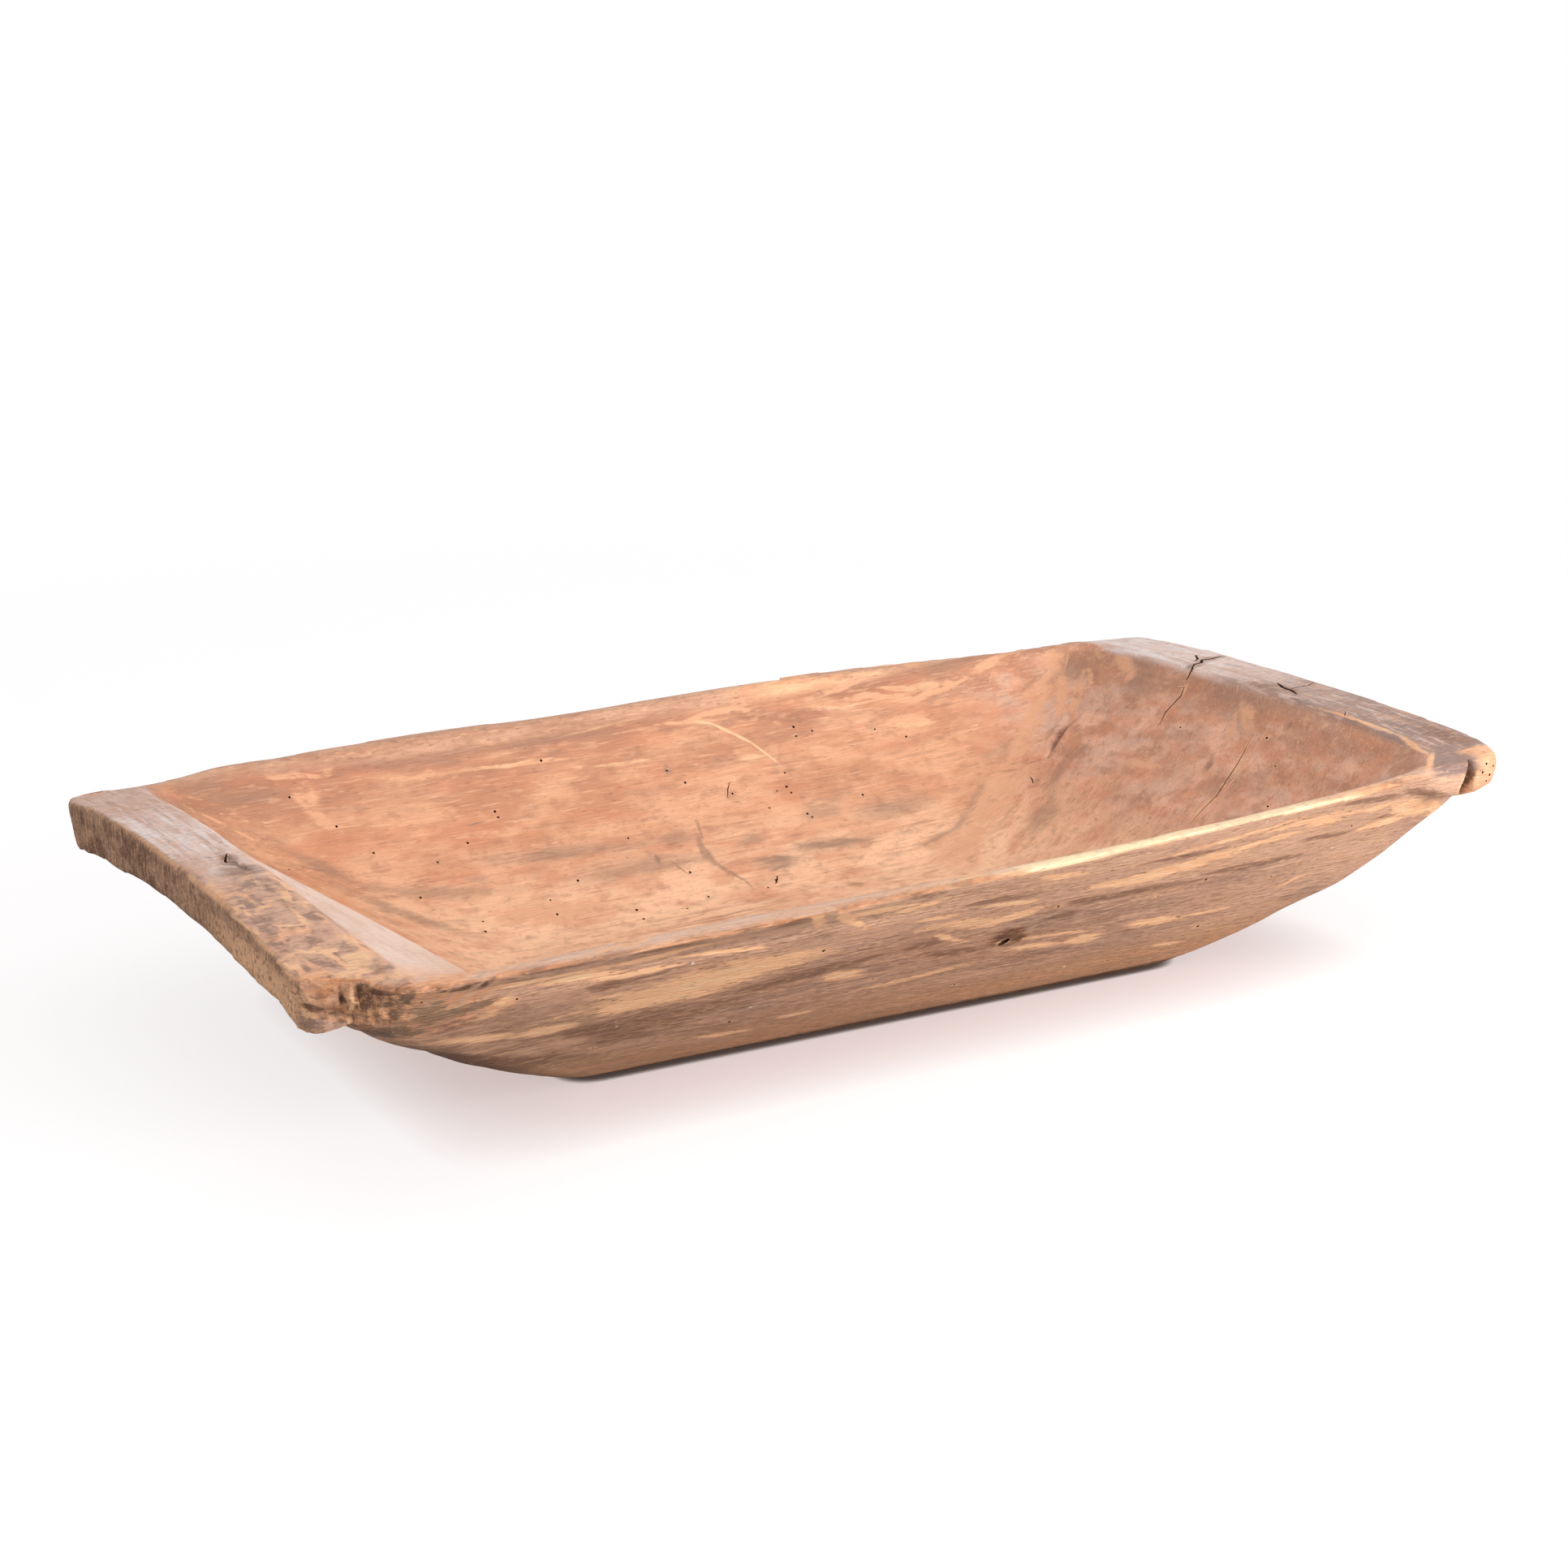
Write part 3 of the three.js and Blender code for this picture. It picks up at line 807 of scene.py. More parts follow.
def linear(tone):
    """The linear colour of an sRGB hex value, with an alpha of 1."""
    channels = [int(tone[i:i + 2], 16) / 255 for i in (1, 3, 5)]
    return [c / 12.92 if c <= 0.04045 else ((c + 0.055) / 1.055) ** 2.4 for c in channels] + [1]


def add_node(kind, settings=None, inputs=None):
    """Adds a node to the tree in hand. Inputs are values, or outputs of other nodes to link from."""
    made = tree.nodes.new("ShaderNode" + kind)
    for name, value in (settings or {}).items():
        setattr(made, name, value)
    for name, value in (inputs or {}).items():
        if isinstance(value, bpy.types.NodeSocket):
            tree.links.new(value, made.inputs[name])
        else:
            made.inputs[name].default_value = value
    return made


def empty_tree(owner):
    """The node tree of a material or world, with nothing in it."""
    owner.use_nodes = True
    owner.node_tree.nodes.clear()
    return owner.node_tree


def position_mm():
    """A point's own coordinates, in millimetres."""
    return add_node("VectorMath", {"operation": "SCALE"},
                    {0: add_node("TexCoord").outputs["Object"], "Scale": METRES_TO_MM}).outputs[0]


wood = bpy.data.materials.new("old_poplar_with_worn_patina")
tree = empty_tree(wood)
place_mm = position_mm()
zone = {name: add_node("Attribute", {"attribute_name": name}).outputs["Fac"]
        for name in ("hollow", "ledge_top", "end_face", "rim_top", "worn_edge", "recess", "torn", "lip",
                     "rim_outer", "left_arris")}
print("tones:", len(TONES), "attributes read:", sorted(zone))

# %% Masks: noise with cells in millimetres, brush marks, and how masks combine
def between(value, low, high):
    """0 where value is at low and 1 where it is at high, in a smooth step, either way round."""
    ends = {"From Min": low, "From Max": high}
    if low > high:
        ends = {"From Min": high, "From Max": low, "To Min": 1, "To Max": 0}
    return add_node("MapRange", {"interpolation_type": "SMOOTHSTEP"}, {"Value": value, **ends}).outputs[0]


def cells(size_mm, low, high, seed=0, detail=3, coords=None):
    """0 to 1: noise with cells of size_mm along X, Y and Z, eased from 0 at low to 1 at high."""
    scaled = add_node("Mapping", None, {
        "Vector": coords or place_mm, "Location": (seed * 7.3, seed * 3.1, seed * 5.7),
        "Scale": [1 / size for size in size_mm]})
    pattern = add_node("TexNoise", None,
                       {"Vector": scaled.outputs[0], "Scale": 1, "Detail": detail, "Roughness": 0.55})
    return between(pattern.outputs["Fac"], low, high)


def both(one, other):
    return add_node("Math", {"operation": "MULTIPLY"}, {0: one, 1: other}).outputs[0]


def either(one, other):
    return add_node("Math", {"operation": "MAXIMUM"}, {0: one, 1: other}).outputs[0]


def outside_of(mask):
    return add_node("Math", {"operation": "SUBTRACT"}, {0: 1.0, 1: mask}).outputs[0]


def coat(under, tone, mask):
    """Lays a tone, or another mix of tones, over what is there, where the mask says."""
    over = linear(TONES[tone]) if isinstance(tone, str) else tone
    return add_node("Mix", {"data_type": "RGBA"}, {0: mask, 6: under, 7: over}).outputs[2]


def wavering(coords, size_mm, reach_mm, seed):
    """The coordinates pushed to and fro by noise, so that what is drawn on them gets an uneven outline."""
    scaled = add_node("Mapping", None, {
        "Vector": coords, "Location": (seed * 4.1, seed * 9.7, seed * 2.3),
        "Scale": [1 / size for size in size_mm]})
    push = add_node("TexNoise", None, {"Vector": scaled.outputs[0], "Scale": 1, "Detail": 3,
                                       "Roughness": 0.6})
    centred = add_node("VectorMath", {"operation": "SUBTRACT"},
                       {0: push.outputs["Color"], 1: (0.5, 0.5, 0.5)})
    sized = add_node("VectorMath", {"operation": "MULTIPLY"},
                     {0: centred.outputs[0], 1: [2 * r for r in reach_mm]})
    return add_node("VectorMath", {"operation": "ADD"}, {0: coords, 1: sized.outputs[0]}).outputs[0]


def marks(ovals_by_tilt, plane, coords, ragged):
    """How far a point is from the nearest of several oval brush marks, each its middle and half sizes in mm.
    Marks with the same tilt share one turned copy of the coordinates."""
    nearest = None
    for tilt, ovals in ovals_by_tilt.items():
        turned = math.radians(tilt)
        rotation = (0, turned, 0) if plane == "side" else (0, 0, -turned)
        axes_turned = add_node("Mapping", None, {"Vector": coords, "Rotation": rotation}).outputs[0]
        for u, v, half_u, half_v in ovals:
            along = (u * math.cos(turned) + v * math.sin(turned)) / half_u
            over = (v * math.cos(turned) - u * math.sin(turned)) / half_v
            scale = (1 / half_u, 0, 1 / half_v) if plane == "side" else (1 / half_u, 1 / half_v, 0)
            shift = (-along, 0, -over) if plane == "side" else (-along, -over, 0)
            oval = add_node("VectorMath", {"operation": "MULTIPLY_ADD"},
                            {0: axes_turned, 1: scale, 2: shift})
            distance = add_node("VectorMath", {"operation": "LENGTH"},
                                {0: oval.outputs[0]}).outputs["Value"]
            nearest = distance if nearest is None else add_node(
                "Math", {"operation": "MINIMUM"}, {0: nearest, 1: distance}).outputs[0]
    return add_node("Math", {"operation": "ADD"}, {0: nearest, 1: ragged}).outputs[0]


def washed(name, ragged):
    """The same for the wide marks, whose reach was stored on the mesh under this name."""
    reach = add_node("Attribute", {"attribute_name": name}).outputs["Fac"]
    return add_node("Math", {"operation": "ADD"}, {0: reach, 1: ragged}).outputs[0]


def inside(reach, soft):
    """0 to 1: inside the marks, with an edge as soft as asked."""
    return between(reach, 1 + soft, 1 - soft)


axes = add_node("SeparateXYZ", None, {0: place_mm})
along_x, along_y, height = axes.outputs[0], axes.outputs[1], axes.outputs[2]
side_coords = wavering(place_mm, (60, 60, 16), (9, 9, 2.6), 1)
plan_coords = wavering(place_mm, (45, 20, 30), (7, 4, 4), 2)


def fraying(size_mm, amount, seed):
    """Noise from minus amount to plus amount, which frays the edge of a brush mark."""
    return add_node("Math", {"operation": "MULTIPLY_ADD"},
                    {0: cells(size_mm, 0.25, 0.75, seed, detail=4), 1: 2 * amount, 2: -amount}).outputs[0]


side_fray = add_node("Math", {"operation": "ADD"},
                     {0: fraying((44, 44, 6), 0.32, 11), 1: fraying((11, 11, 1.5), 0.16, 13)}).outputs[0]
plan_fray = add_node("Math", {"operation": "ADD"},
                     {0: fraying((30, 9, 12), 0.3, 12), 1: fraying((9, 2.2, 4), 0.18, 14)}).outputs[0]
print("nodes so far:", len(tree.nodes))

# %% [markdown]
# ## The hull's patina
# Outside, the skin is a grey brown that the weather and the hearth gave, streaked along the grain. The worn
# streaks follow the grain too, from hairlines to the long lens on the near side where the wood has been
# rubbed bare. Noise alone can't place that lens or the pale band below the rim, so the big ones are brush
# marks.

# %% Brush marks on the near side: middle x and z, half sizes, tilt
BARE_SIDE = {
    -36: [(-138, 134, 16, 3.2), (-114, 128, 16, 3), (398, 108, 14, 5), (-352, 122, 18, 2.6)],
    -24: [(-22, 90, 16, 2.2), (-400, 138, 10, 5), (-370, 134, 18, 4.5)],
    -12: [(-345, 90, 34, 3.4), (-90, 73, 14, 4.2), (368, 115, 24, 6.5)],
    -6: [
        (-252, 90, 18, 7), (-262, 103, 18, 3), (-200, 122, 26, 1.4), (-14, 101, 30, 3.6),
        (20, 111, 25, 2), (44, 128, 22, 2.4), (105, 108, 30, 3.6), (275, 125, 17, 4.6),
        (105, 57, 14, 4.6), (165, 60, 27, 3.6), (82, 68, 28, 1.6), (62, 61, 24, 2.2), (-394, 128, 6, 11),
        (196, 30, 15, 2.4), (-150, 33, 22, 2),
    ],
    -2: [
        (-298, 83, 22, 4.2), (-318, 131, 50, 2), (-292, 125, 26, 2.2), (-262, 120, 30, 1.8),
        (-92, 130, 26, 2.4), (-46, 112, 16, 2), (316, 124, 28, 2.2), (208, 58, 20, 1.3),
        (-104, 40, 14, 2),
    ],
    3: [
        (-205, 97, 74, 13), (-240, 130, 40, 1.8), (-25, 54, 38, 2.2), (152, 111, 58, 4.6),
        (230, 117, 42, 2.2), (250, 126, 44, 2.2), (180, 127, 60, 1.7), (345, 106, 24, 3),
    ],
    7: [(-55, 127, 22, 2.2), (22, 97, 24, 3.4)],
    20: [(-341, 116, 11, 5.5), (284, 69, 11, 1.6), (-408, 108, 9, 13)],
}
DARK_SIDE = {
    -12: [(368, 128, 22, 3)],
    -6: [(-372, 141, 9, 3.5), (320, 132, 34, 2.6)],
    -2: [
        (-341, 141, 9, 2.6), (72, 88, 15, 3.5), (0, 118, 22, 2), (230, 96, 40, 2.4), (290, 108, 30, 2),
        (-310, 141, 30, 2.4), (-240, 138, 26, 2.6),
        (-150, 137, 20, 2.6), (-62, 137, 16, 2.2), (352, 112, 16, 2.2), (150, 121, 40, 2),
        (120, 96, 60, 3.4),
    ],
    3: [(-220, 116, 60, 1.6)],
    36: [(-355, 138, 5, 3.5)],
}

FOOT_SHADE_MM = 6
hull = coat(linear(TONES["patina"]), "patina_grey", cells((150, 80, 34), 0.4, 0.62, seed=2))
hull = coat(hull, "patina_light", both(between(height, 86, 122),
                                       cells((110, 60, 12), 0.3, 0.62, seed=3, detail=4)))
hull = coat(hull, "patina_dark", both(cells((90, 50, 7), 0.5, 0.68, seed=1, detail=5), 0.62))
hull = coat(hull, "patina_light", both(cells((80, 40, 3.4), 0.5, 0.66, seed=9, detail=5), 0.6))
hull = coat(hull, "patina_dark", both(cells((16, 12, 4), 0.52, 0.7, seed=15, detail=5), 0.5))
hull = coat(hull, "patina_light", both(cells((13, 10, 2.6), 0.5, 0.66, seed=16, detail=5), 0.6))
hull = coat(hull, "tan", both(both(between(height, 84, 100), between(along_x, -120, -20)),
                              both(cells((26, 20, 4), 0.46, 0.6, seed=93, detail=6), 0.8)))
hull = coat(hull, "patina_dark", both(cells((6, 5, 1.7), 0.54, 0.68, seed=18, detail=4), 0.4))
# The lower left of the near side is painted darker and the right half lighter: partly the skin's own tone,
# partly painted shade and painted light for light that comes from the front right.
hull = coat(hull, "patina_dark", both(between(along_x, -170, -290), both(between(height, 110, 70), 0.8)))
hull = coat(hull, "patina_light", both(between(along_x, 20, 260),
                                       both(cells((60, 40, 9), 0.3, 0.6, seed=84, detail=5), 0.62)))
near_the_floor = between(height, 56, 24)
hull = coat(hull, "patina_warm", both(near_the_floor, cells((90, 60, 26), 0.12, 0.45, seed=4)))
hull = coat(hull, "bare_orange", both(between(height, 36, 18),
                                      both(cells((70, 50, 5), 0.38, 0.62, seed=96), 0.6)))
tan_side = both(inside(washed("tan_side", side_fray), 0.5), cells((50, 40, 5), 0.3, 0.62, seed=5, detail=4))
hull = coat(hull, "tan", tan_side)
hairlines = both(cells((60, 40, 1.5), 0.56, 0.7, seed=6, detail=4), cells((120, 60, 24), 0.4, 0.6, seed=7))
hull = coat(hull, "tan", both(hairlines, 0.7))
dark_side = either(inside(marks(DARK_SIDE, "side", side_coords, side_fray), 0.35),
                   inside(washed("dark_side", side_fray), 0.3))
hull = coat(hull, "patina_dark", both(dark_side, 0.72))
bare_reach = marks(BARE_SIDE, "side", side_coords, side_fray)
bare_tone = coat(linear(TONES["bare"]), "bare_orange",
                 both(cells((40, 30, 5), 0.4, 0.66, seed=8, detail=5), 0.85))
hull = coat(hull, "tan", both(between(bare_reach, 1.8, 1.0), 0.6))
bare_side = inside(bare_reach, 0.3)
whole = either(cells((15, 12, 2.6), 0.32, 0.5, seed=92, detail=5), between(bare_reach, 0.9, 0.55))
bare_side = both(bare_side, whole)
hull = coat(hull, bare_tone, bare_side)
in_the_lens = both(between(along_x, -300, -250), between(along_x, -110, -140))
hull = coat(hull, "lens", both(bare_side, either(cells((44, 30, 9), 0.3, 0.52, seed=85), in_the_lens)))
hull = coat(hull, "bare_bright_and_highlight", both(between(bare_reach, 0.9, 0.4),
                                      both(cells((16, 12, 2.4), 0.5, 0.64, seed=10), 0.5)))
crumbs = cells((7, 6, 1.6), 0.58, 0.68, seed=17, detail=4)
crumbly_edge = both(between(bare_reach, 1.5, 1.0), between(bare_reach, 0.72, 0.95))
hull = coat(hull, "rim_brown", both(both(crumbs, crumbly_edge), 0.85))
# A dark band along the foot is painted contact shade, where the hull meets the floor.
hull = coat(hull, "pore_and_shade", both(between(height, FOOT_SHADE_MM + 3, FOOT_SHADE_MM), 0.85))
KNOT = {-12: [(34, 79, 10, 5.4), (44, 74, 7, 3.6)], 25: [(28, 78, 7, 4.6)]}
knot_fray = fraying((5, 5, 3), 0.6, 66)
knot_reach = marks(KNOT, "side", place_mm, knot_fray)
near_side = between(along_y, -60, -120)
hull = coat(hull, "rim_brown", both(near_side, both(inside(knot_reach, 0.4), 0.7)))
hull = coat(hull, "pore_and_shade", both(near_side, both(between(knot_reach, 0.8, 0.3), 0.8)))
print("thin streaks on the side:", sum(len(ovals) for ovals in BARE_SIDE.values()))

# %% [markdown]
# ## The hollow
# Inside, dough, flour and scraping kept the wood cleaner. It has gone a warm orange, greyer on the far end
# wall, with water stains, scratches and small checks. The floor is painted lighter and the walls browner
# under the
# rim: partly the wood's own tone, partly painted light on the floor, which faces the lamps, and painted shade
# high on the walls. The brown high on the walls at the left end is painted shade.

# %% Brush marks in the hollow: middle x and y, half sizes, turn
PALE_HOLLOW = {
    -24: [(-357, 188, 8, 2), (-339, 179, 9, 2)],
    -6: [(205, 207, 34, 1.8)],
    -2: [
        (217, 189, 18, 3.4), (30, 214, 30, 1.2), (72, 216, 16, 1.4), (-288, 214, 22, 1.6),
        (-200, 207, 24, 1.5), (-205, 182, 30, 1.3), (-150, 168, 34, 2), (110, 135, 20, 2),
        (30, 150, 30, 2),
    ],
    3: [(262, 201, 32, 2.6), (322, 205, 34, 2.4), (160, 216, 40, 1.6), (60, 217, 34, 1.4)],
    7: [(350, -58, 24, 1.4), (330, 30, 3, 16), (270, 38, 20, 2)],
    20: [(300, 52, 14, 1.6)],
    36: [(371, -22, 10, 3)],
    55: [(372, 150, 10, 2.2)],
}
DARK_HOLLOW = {
    -75: [(-1, 128, 8, 3.2), (17, 103, 5, 0.8)],
    -52: [(4, 119, 7, 1.8), (12, 111, 7, 1.2), (-28, 124, 9, 0.6)],
    -8: [(52, 117, 16, 2.6), (90, 121, 15, 2.4), (116, 121, 12, 1.4), (-128, 152, 12, 0.5),
         (-300, 158, 10, 0.6)],
    4: [(48, 110, 8, 1.0), (104, 119, 12, 1.0), (-170, 176, 9, 0.6)],
    80: [(2, 148, 6, 1.3), (-3, 137, 8, 3.0), (-42, 133, 4, 1.8), (-2, 189, 3, 2.6)],
}
SCRATCH = {-13: [(45, 212, 8, 0.8)], -27: [(59, 206.5, 9, 1.0)], -32: [(71, 200, 8, 1.1)],
           -46: [(84, 189, 12, 0.9)]}
DARK_FAR_WALL = {
    2: [(20, 134.5, 60, 2.2), (-60, 130, 50, 2.6), (108, 137, 26, 2.4), (-240, 133, 60, 2.4)],
    -3: [(178, 131, 42, 4.4), (216, 131, 26, 3.4), (88, 124, 12, 3.4), (128, 119, 26, 5)],
}
PALE_FAR_WALL = {
    -8: [(156, 121.6, 10, 0.8), (228, 126.5, 20, 1.8)],
    4: [(182, 120.6, 20, 0.9), (212, 122.6, 18, 1.2), (246, 126.5, 14, 2.6), (60, 129, 30, 1.0),
        (30, 137, 90, 1.0)],
    -2: [(219, 104.5, 17, 3.2), (224, 119.5, 13, 2.4), (-36, 108, 20, 1.2), (72, 98, 12, 2),
         (-120, 118, 40, 1.2)],
}

hollow = coat(linear(TONES["hollow"]), "hollow_light", cells((60, 30, 30), 0.38, 0.62, seed=21, detail=4))
# Lighter low down and browner high up: partly the wood's tone, partly painted light on the floor and painted
# shade under the rim.
hollow = coat(hollow, "hollow_floor", both(between(height, 80, 24), cells((90, 50, 50), 0.1, 0.5, seed=30)))
hollow = coat(hollow, "hollow_red", both(cells((34, 16, 12), 0.52, 0.68, seed=22, detail=4), 0.5))
hollow = coat(hollow, "hollow_brown", both(between(height, 88, 138),
                                           cells((90, 60, 14), 0.3, 0.58, seed=23, detail=4)))
# Painted shade high on the walls at the left end of the hollow.
hollow = coat(hollow, "hollow_brown", both(both(between(height, 104, 130), between(along_x, -180, -300)),
                                           0.45))
far_coords = wavering(place_mm, (26, 26, 10), (4, 4, 1.6), 7)
hollow = coat(hollow, "hollow_brown", both(inside(marks(DARK_FAR_WALL, "side", far_coords, side_fray), 0.4),
                                           between(along_y, 150, 190)))
hollow = coat(hollow, "bare", both(inside(marks(PALE_FAR_WALL, "side", far_coords, both(side_fray, 0.7)),
                                          0.3),
                                   both(between(along_y, 150, 180), 0.8)))
right_end = between(along_x, 255, 330)
end_wall = coat(linear(TONES["end_wall"]), "end_wall_grey",
                cells((30, 40, 20), 0.4, 0.62, seed=24, detail=4))
end_wall = coat(end_wall, "hollow_red", both(cells((30, 34, 15), 0.48, 0.62, seed=25, detail=5), 0.6))
end_wall = coat(end_wall, "hollow_brown", both(cells((34, 44, 16), 0.5, 0.64, seed=86, detail=5), 0.65))
end_wall = coat(end_wall, "hollow_brown",
                both(between(height, 126, 138), both(cells((30, 30, 12), 0.25, 0.5, seed=87), 0.7)))
end_wall = coat(end_wall, "hollow_light", both(cells((9, 12, 9), 0.54, 0.7, seed=40, detail=5), 0.5))
hollow = coat(hollow, end_wall, both(right_end, cells((60, 60, 40), 0.2, 0.5, seed=26)))
brown_grain = both(cells((70, 3, 4), 0.52, 0.68, seed=27, detail=4), cells((90, 40, 40), 0.4, 0.6, seed=28))
hollow = coat(hollow, "hollow_brown", both(brown_grain, 0.6))
mottling = cells((14, 9, 9), 0.5, 0.7, seed=29, detail=5)
hollow = coat(hollow, "hollow_brown", both(mottling, 0.5))
hollow = coat(hollow, "hollow_light", both(cells((16, 7, 7), 0.54, 0.72, seed=20, detail=5), 0.6))
hollow = coat(hollow, "hollow_brown", both(cells((5, 3, 3), 0.56, 0.72, seed=44, detail=3), 0.35))
hollow = coat(hollow, "hollow_floor", both(cells((26, 1.8, 2), 0.55, 0.7, seed=45, detail=4), 0.4))
hollow = coat(hollow, "hollow_red", both(cells((50, 22, 16), 0.46, 0.66, seed=97, detail=6), 0.45))
hollow = coat(hollow, "stain", both(cells((30, 12, 10), 0.55, 0.75, seed=98, detail=6), 0.4))
hollow = coat(hollow, "stain", both(inside(washed("stains", plan_fray), 0.7), 0.56))
scored_coords = add_node("Mapping", None,
                         {"Vector": place_mm, "Rotation": (0, 0, math.radians(-38))}).outputs[0]
scored = both(cells((46, 1.5, 30), 0.62, 0.7, seed=36, coords=scored_coords),
              cells((50, 50, 50), 0.42, 0.56, seed=37))
hollow = coat(hollow, "hollow_light", both(scored, both(right_end, 0.8)))
# The lip is painted pale pink with streaks along the arris: partly pale worn wood, partly a painted sheen,
# the reflection a worn surface gives at a glancing view.
painted_lip_sheen = both(zone["lip"], cells((16, 60, 30), 0.05, 0.4, seed=38, detail=4))
hollow = coat(hollow, "lip_painted_sheen", painted_lip_sheen)
hollow = coat(hollow, "rim_skin_and_lip_sheen", both(zone["lip"],
                                       both(cells((8, 44, 20), 0.4, 0.64, seed=94, detail=4), 0.8)))
hollow = coat(hollow, "hollow_light", both(zone["lip"], both(between(along_y, -188, -214), 0.6)))
pale_hollow = either(inside(marks(PALE_HOLLOW, "plan", plan_coords, plan_fray), 0.3),
                     inside(washed("pale_hollow", plan_fray), 0.4))
pale_hollow = both(pale_hollow, cells((12, 9, 5), 0.28, 0.52, seed=95, detail=6))
hollow = coat(hollow, "hollow_light", both(pale_hollow, 0.95))
fine_coords = wavering(place_mm, (12, 12, 12), (2, 2, 2), 6)
dark_hollow = inside(marks(DARK_HOLLOW, "plan", fine_coords, plan_fray), 0.5)
hollow = coat(hollow, "stain", both(dark_hollow, 0.68))
hollow = coat(hollow, "bare", inside(marks(SCRATCH, "plan", place_mm, 0.0), 0.3))
print("thin streaks in the hollow:", sum(len(ovals) for ovals in PALE_HOLLOW.values()))

# %% [markdown]
# ## Ledges, rim and end grain
# The ledges are where the trough is lifted, so their tops have gone grey and glossy from hands. Over that lie
# whitish lilac streaks, which are painted sheen: a painted reflection of the bright studio, whitest on the
# far half of the right ledge. At the near left the grey skin has flaked into islands with worn orange wood
# between them. The end faces cut across the grain and soak up dirt, so they are the darkest surfaces, and the
# rim is rubbed pale, most of all on the near side at the right, where a painted highlight lies over the bare
# wood.

# %% Coats for the ledges, the rim and the ends
right_side = between(along_x, -20, 20)
# Streaks for the painted sheen on the ledge tops: a painted reflection, not a colour of the wood.
painted_sheen_lines = cells((5, 70, 20), 0.36, 0.6, seed=39, detail=4)
ISLANDS_MM = (18, 27, 40)
ledge = coat(linear(TONES["ledge"]), "ledge_pale", cells((16, 60, 20), 0.4, 0.6, seed=31, detail=4))
ledge = coat(ledge, "ledge_grey", both(cells((9, 34, 12), 0.52, 0.66, seed=32, detail=4), 0.8))
# The right ledge goes from dull at its near end to lilac white at its far end, and the left ledge gets a
# lilac band: painted sheen, a painted reflection of the bright studio.
ledge = coat(ledge, "ledge_dull", both(right_side, both(between(along_y, 90, -110), 0.95)))
ledge = coat(ledge, "ledge_painted_sheen", both(both(right_side, between(along_y, -60, 120)),
                                        either(painted_sheen_lines, 0.45)))
left_painted_sheen = both(between(along_y, 8, 40), between(along_y, 150, 110))
ledge = coat(ledge, "ledge_painted_sheen", both(both(outside_of(right_side), left_painted_sheen), both(painted_sheen_lines, 0.8)))
ledge = coat(ledge, "patina", both(both(outside_of(right_side), between(along_y, 110, 160)), 0.4))
ledge = coat(ledge, "ledge_pale", both(cells((3.4, 22, 14), 0.5, 0.68, seed=88, detail=5), 0.7))
ledge = coat(ledge, "patina", both(cells((6, 30, 14), 0.5, 0.66, seed=89, detail=5), 0.55))
island_coords = add_node("Mapping", None, {
    "Vector": wavering(place_mm, (14, 20, 20), (5, 8, 4), 3), "Scale": [1 / size for size in ISLANDS_MM]})
islands = add_node("TexVoronoi", {"feature": "DISTANCE_TO_EDGE"},
                   {"Vector": island_coords.outputs[0], "Scale": 1})
gap_width = cells((26, 40, 30), 0.35, 0.65, seed=47)
widened = add_node("Math", {"operation": "MULTIPLY_ADD"},
                   {0: gap_width, 1: -0.09, 2: islands.outputs["Distance"]})
gaps = between(widened.outputs[0], 0.09, 0.01)
left_near = both(between(along_x, -380, -400), between(along_y, -8, -50))
flaked = coat(linear(TONES["ledge_warm"]), "patina_dark",
              both(cells((12, 18, 12), 0.4, 0.58, seed=34, detail=4), 0.9))
flaked = coat(flaked, "tan", cells((9, 14, 9), 0.5, 0.64, seed=35, detail=4))
ledge = coat(ledge, flaked, both(left_near, 0.9))
ledge = coat(ledge, bare_tone, both(both(gaps, left_near), cells((20, 30, 20), 0.36, 0.56, seed=33)))
LEDGE_BARE = {
    -36: [(-408, -182, 8, 14)],
    0: [(-420, -198, 10, 4)],
    -40: [(-412, -186, 5, 17), (-392, -206, 5, 15)],
}
ledge = coat(ledge, "patina_dark", both(inside(washed("dark_ledge", plan_fray), 0.5), 0.75))
ledge = coat(ledge, "bare", both(inside(marks(LEDGE_BARE, "plan", plan_coords, plan_fray), 0.4), 0.85))
KNOTTY_CHECK = {8: [(-412, 9, 1.8, 5), (-413, -4, 1.3, 5), (-411, -18, 1.8, 6)], 60: [(-416, -8, 1.4, 5)]}
knotty = inside(marks(KNOTTY_CHECK, "plan", place_mm, fraying((4, 5, 4), 0.6, 90)), 0.4)
ledge = coat(ledge, "torn_dark_and_shade", both(knotty, 0.8))

end_grain = coat(linear(TONES["end_grain"]), "end_grain_dark",
                 cells((30, 26, 12), 0.42, 0.62, seed=41, detail=4))
end_grain = coat(end_grain, "end_grain_warm", both(cells((30, 3, 14), 0.46, 0.66, seed=42, detail=4), 0.5))
low_on_end = both(between(along_y, 0, -110), between(height, 148, 137))
end_grain = coat(end_grain, "end_grain_warm", both(low_on_end, cells((40, 30, 9), 0.1, 0.38, seed=43)))
end_grain = coat(end_grain, "end_grain_dark", both(cells((20, 3.4, 3), 0.5, 0.64, seed=46, detail=5), 0.65))
right_tip = both(between(along_x, 396, 404), between(along_y, -190, -200))

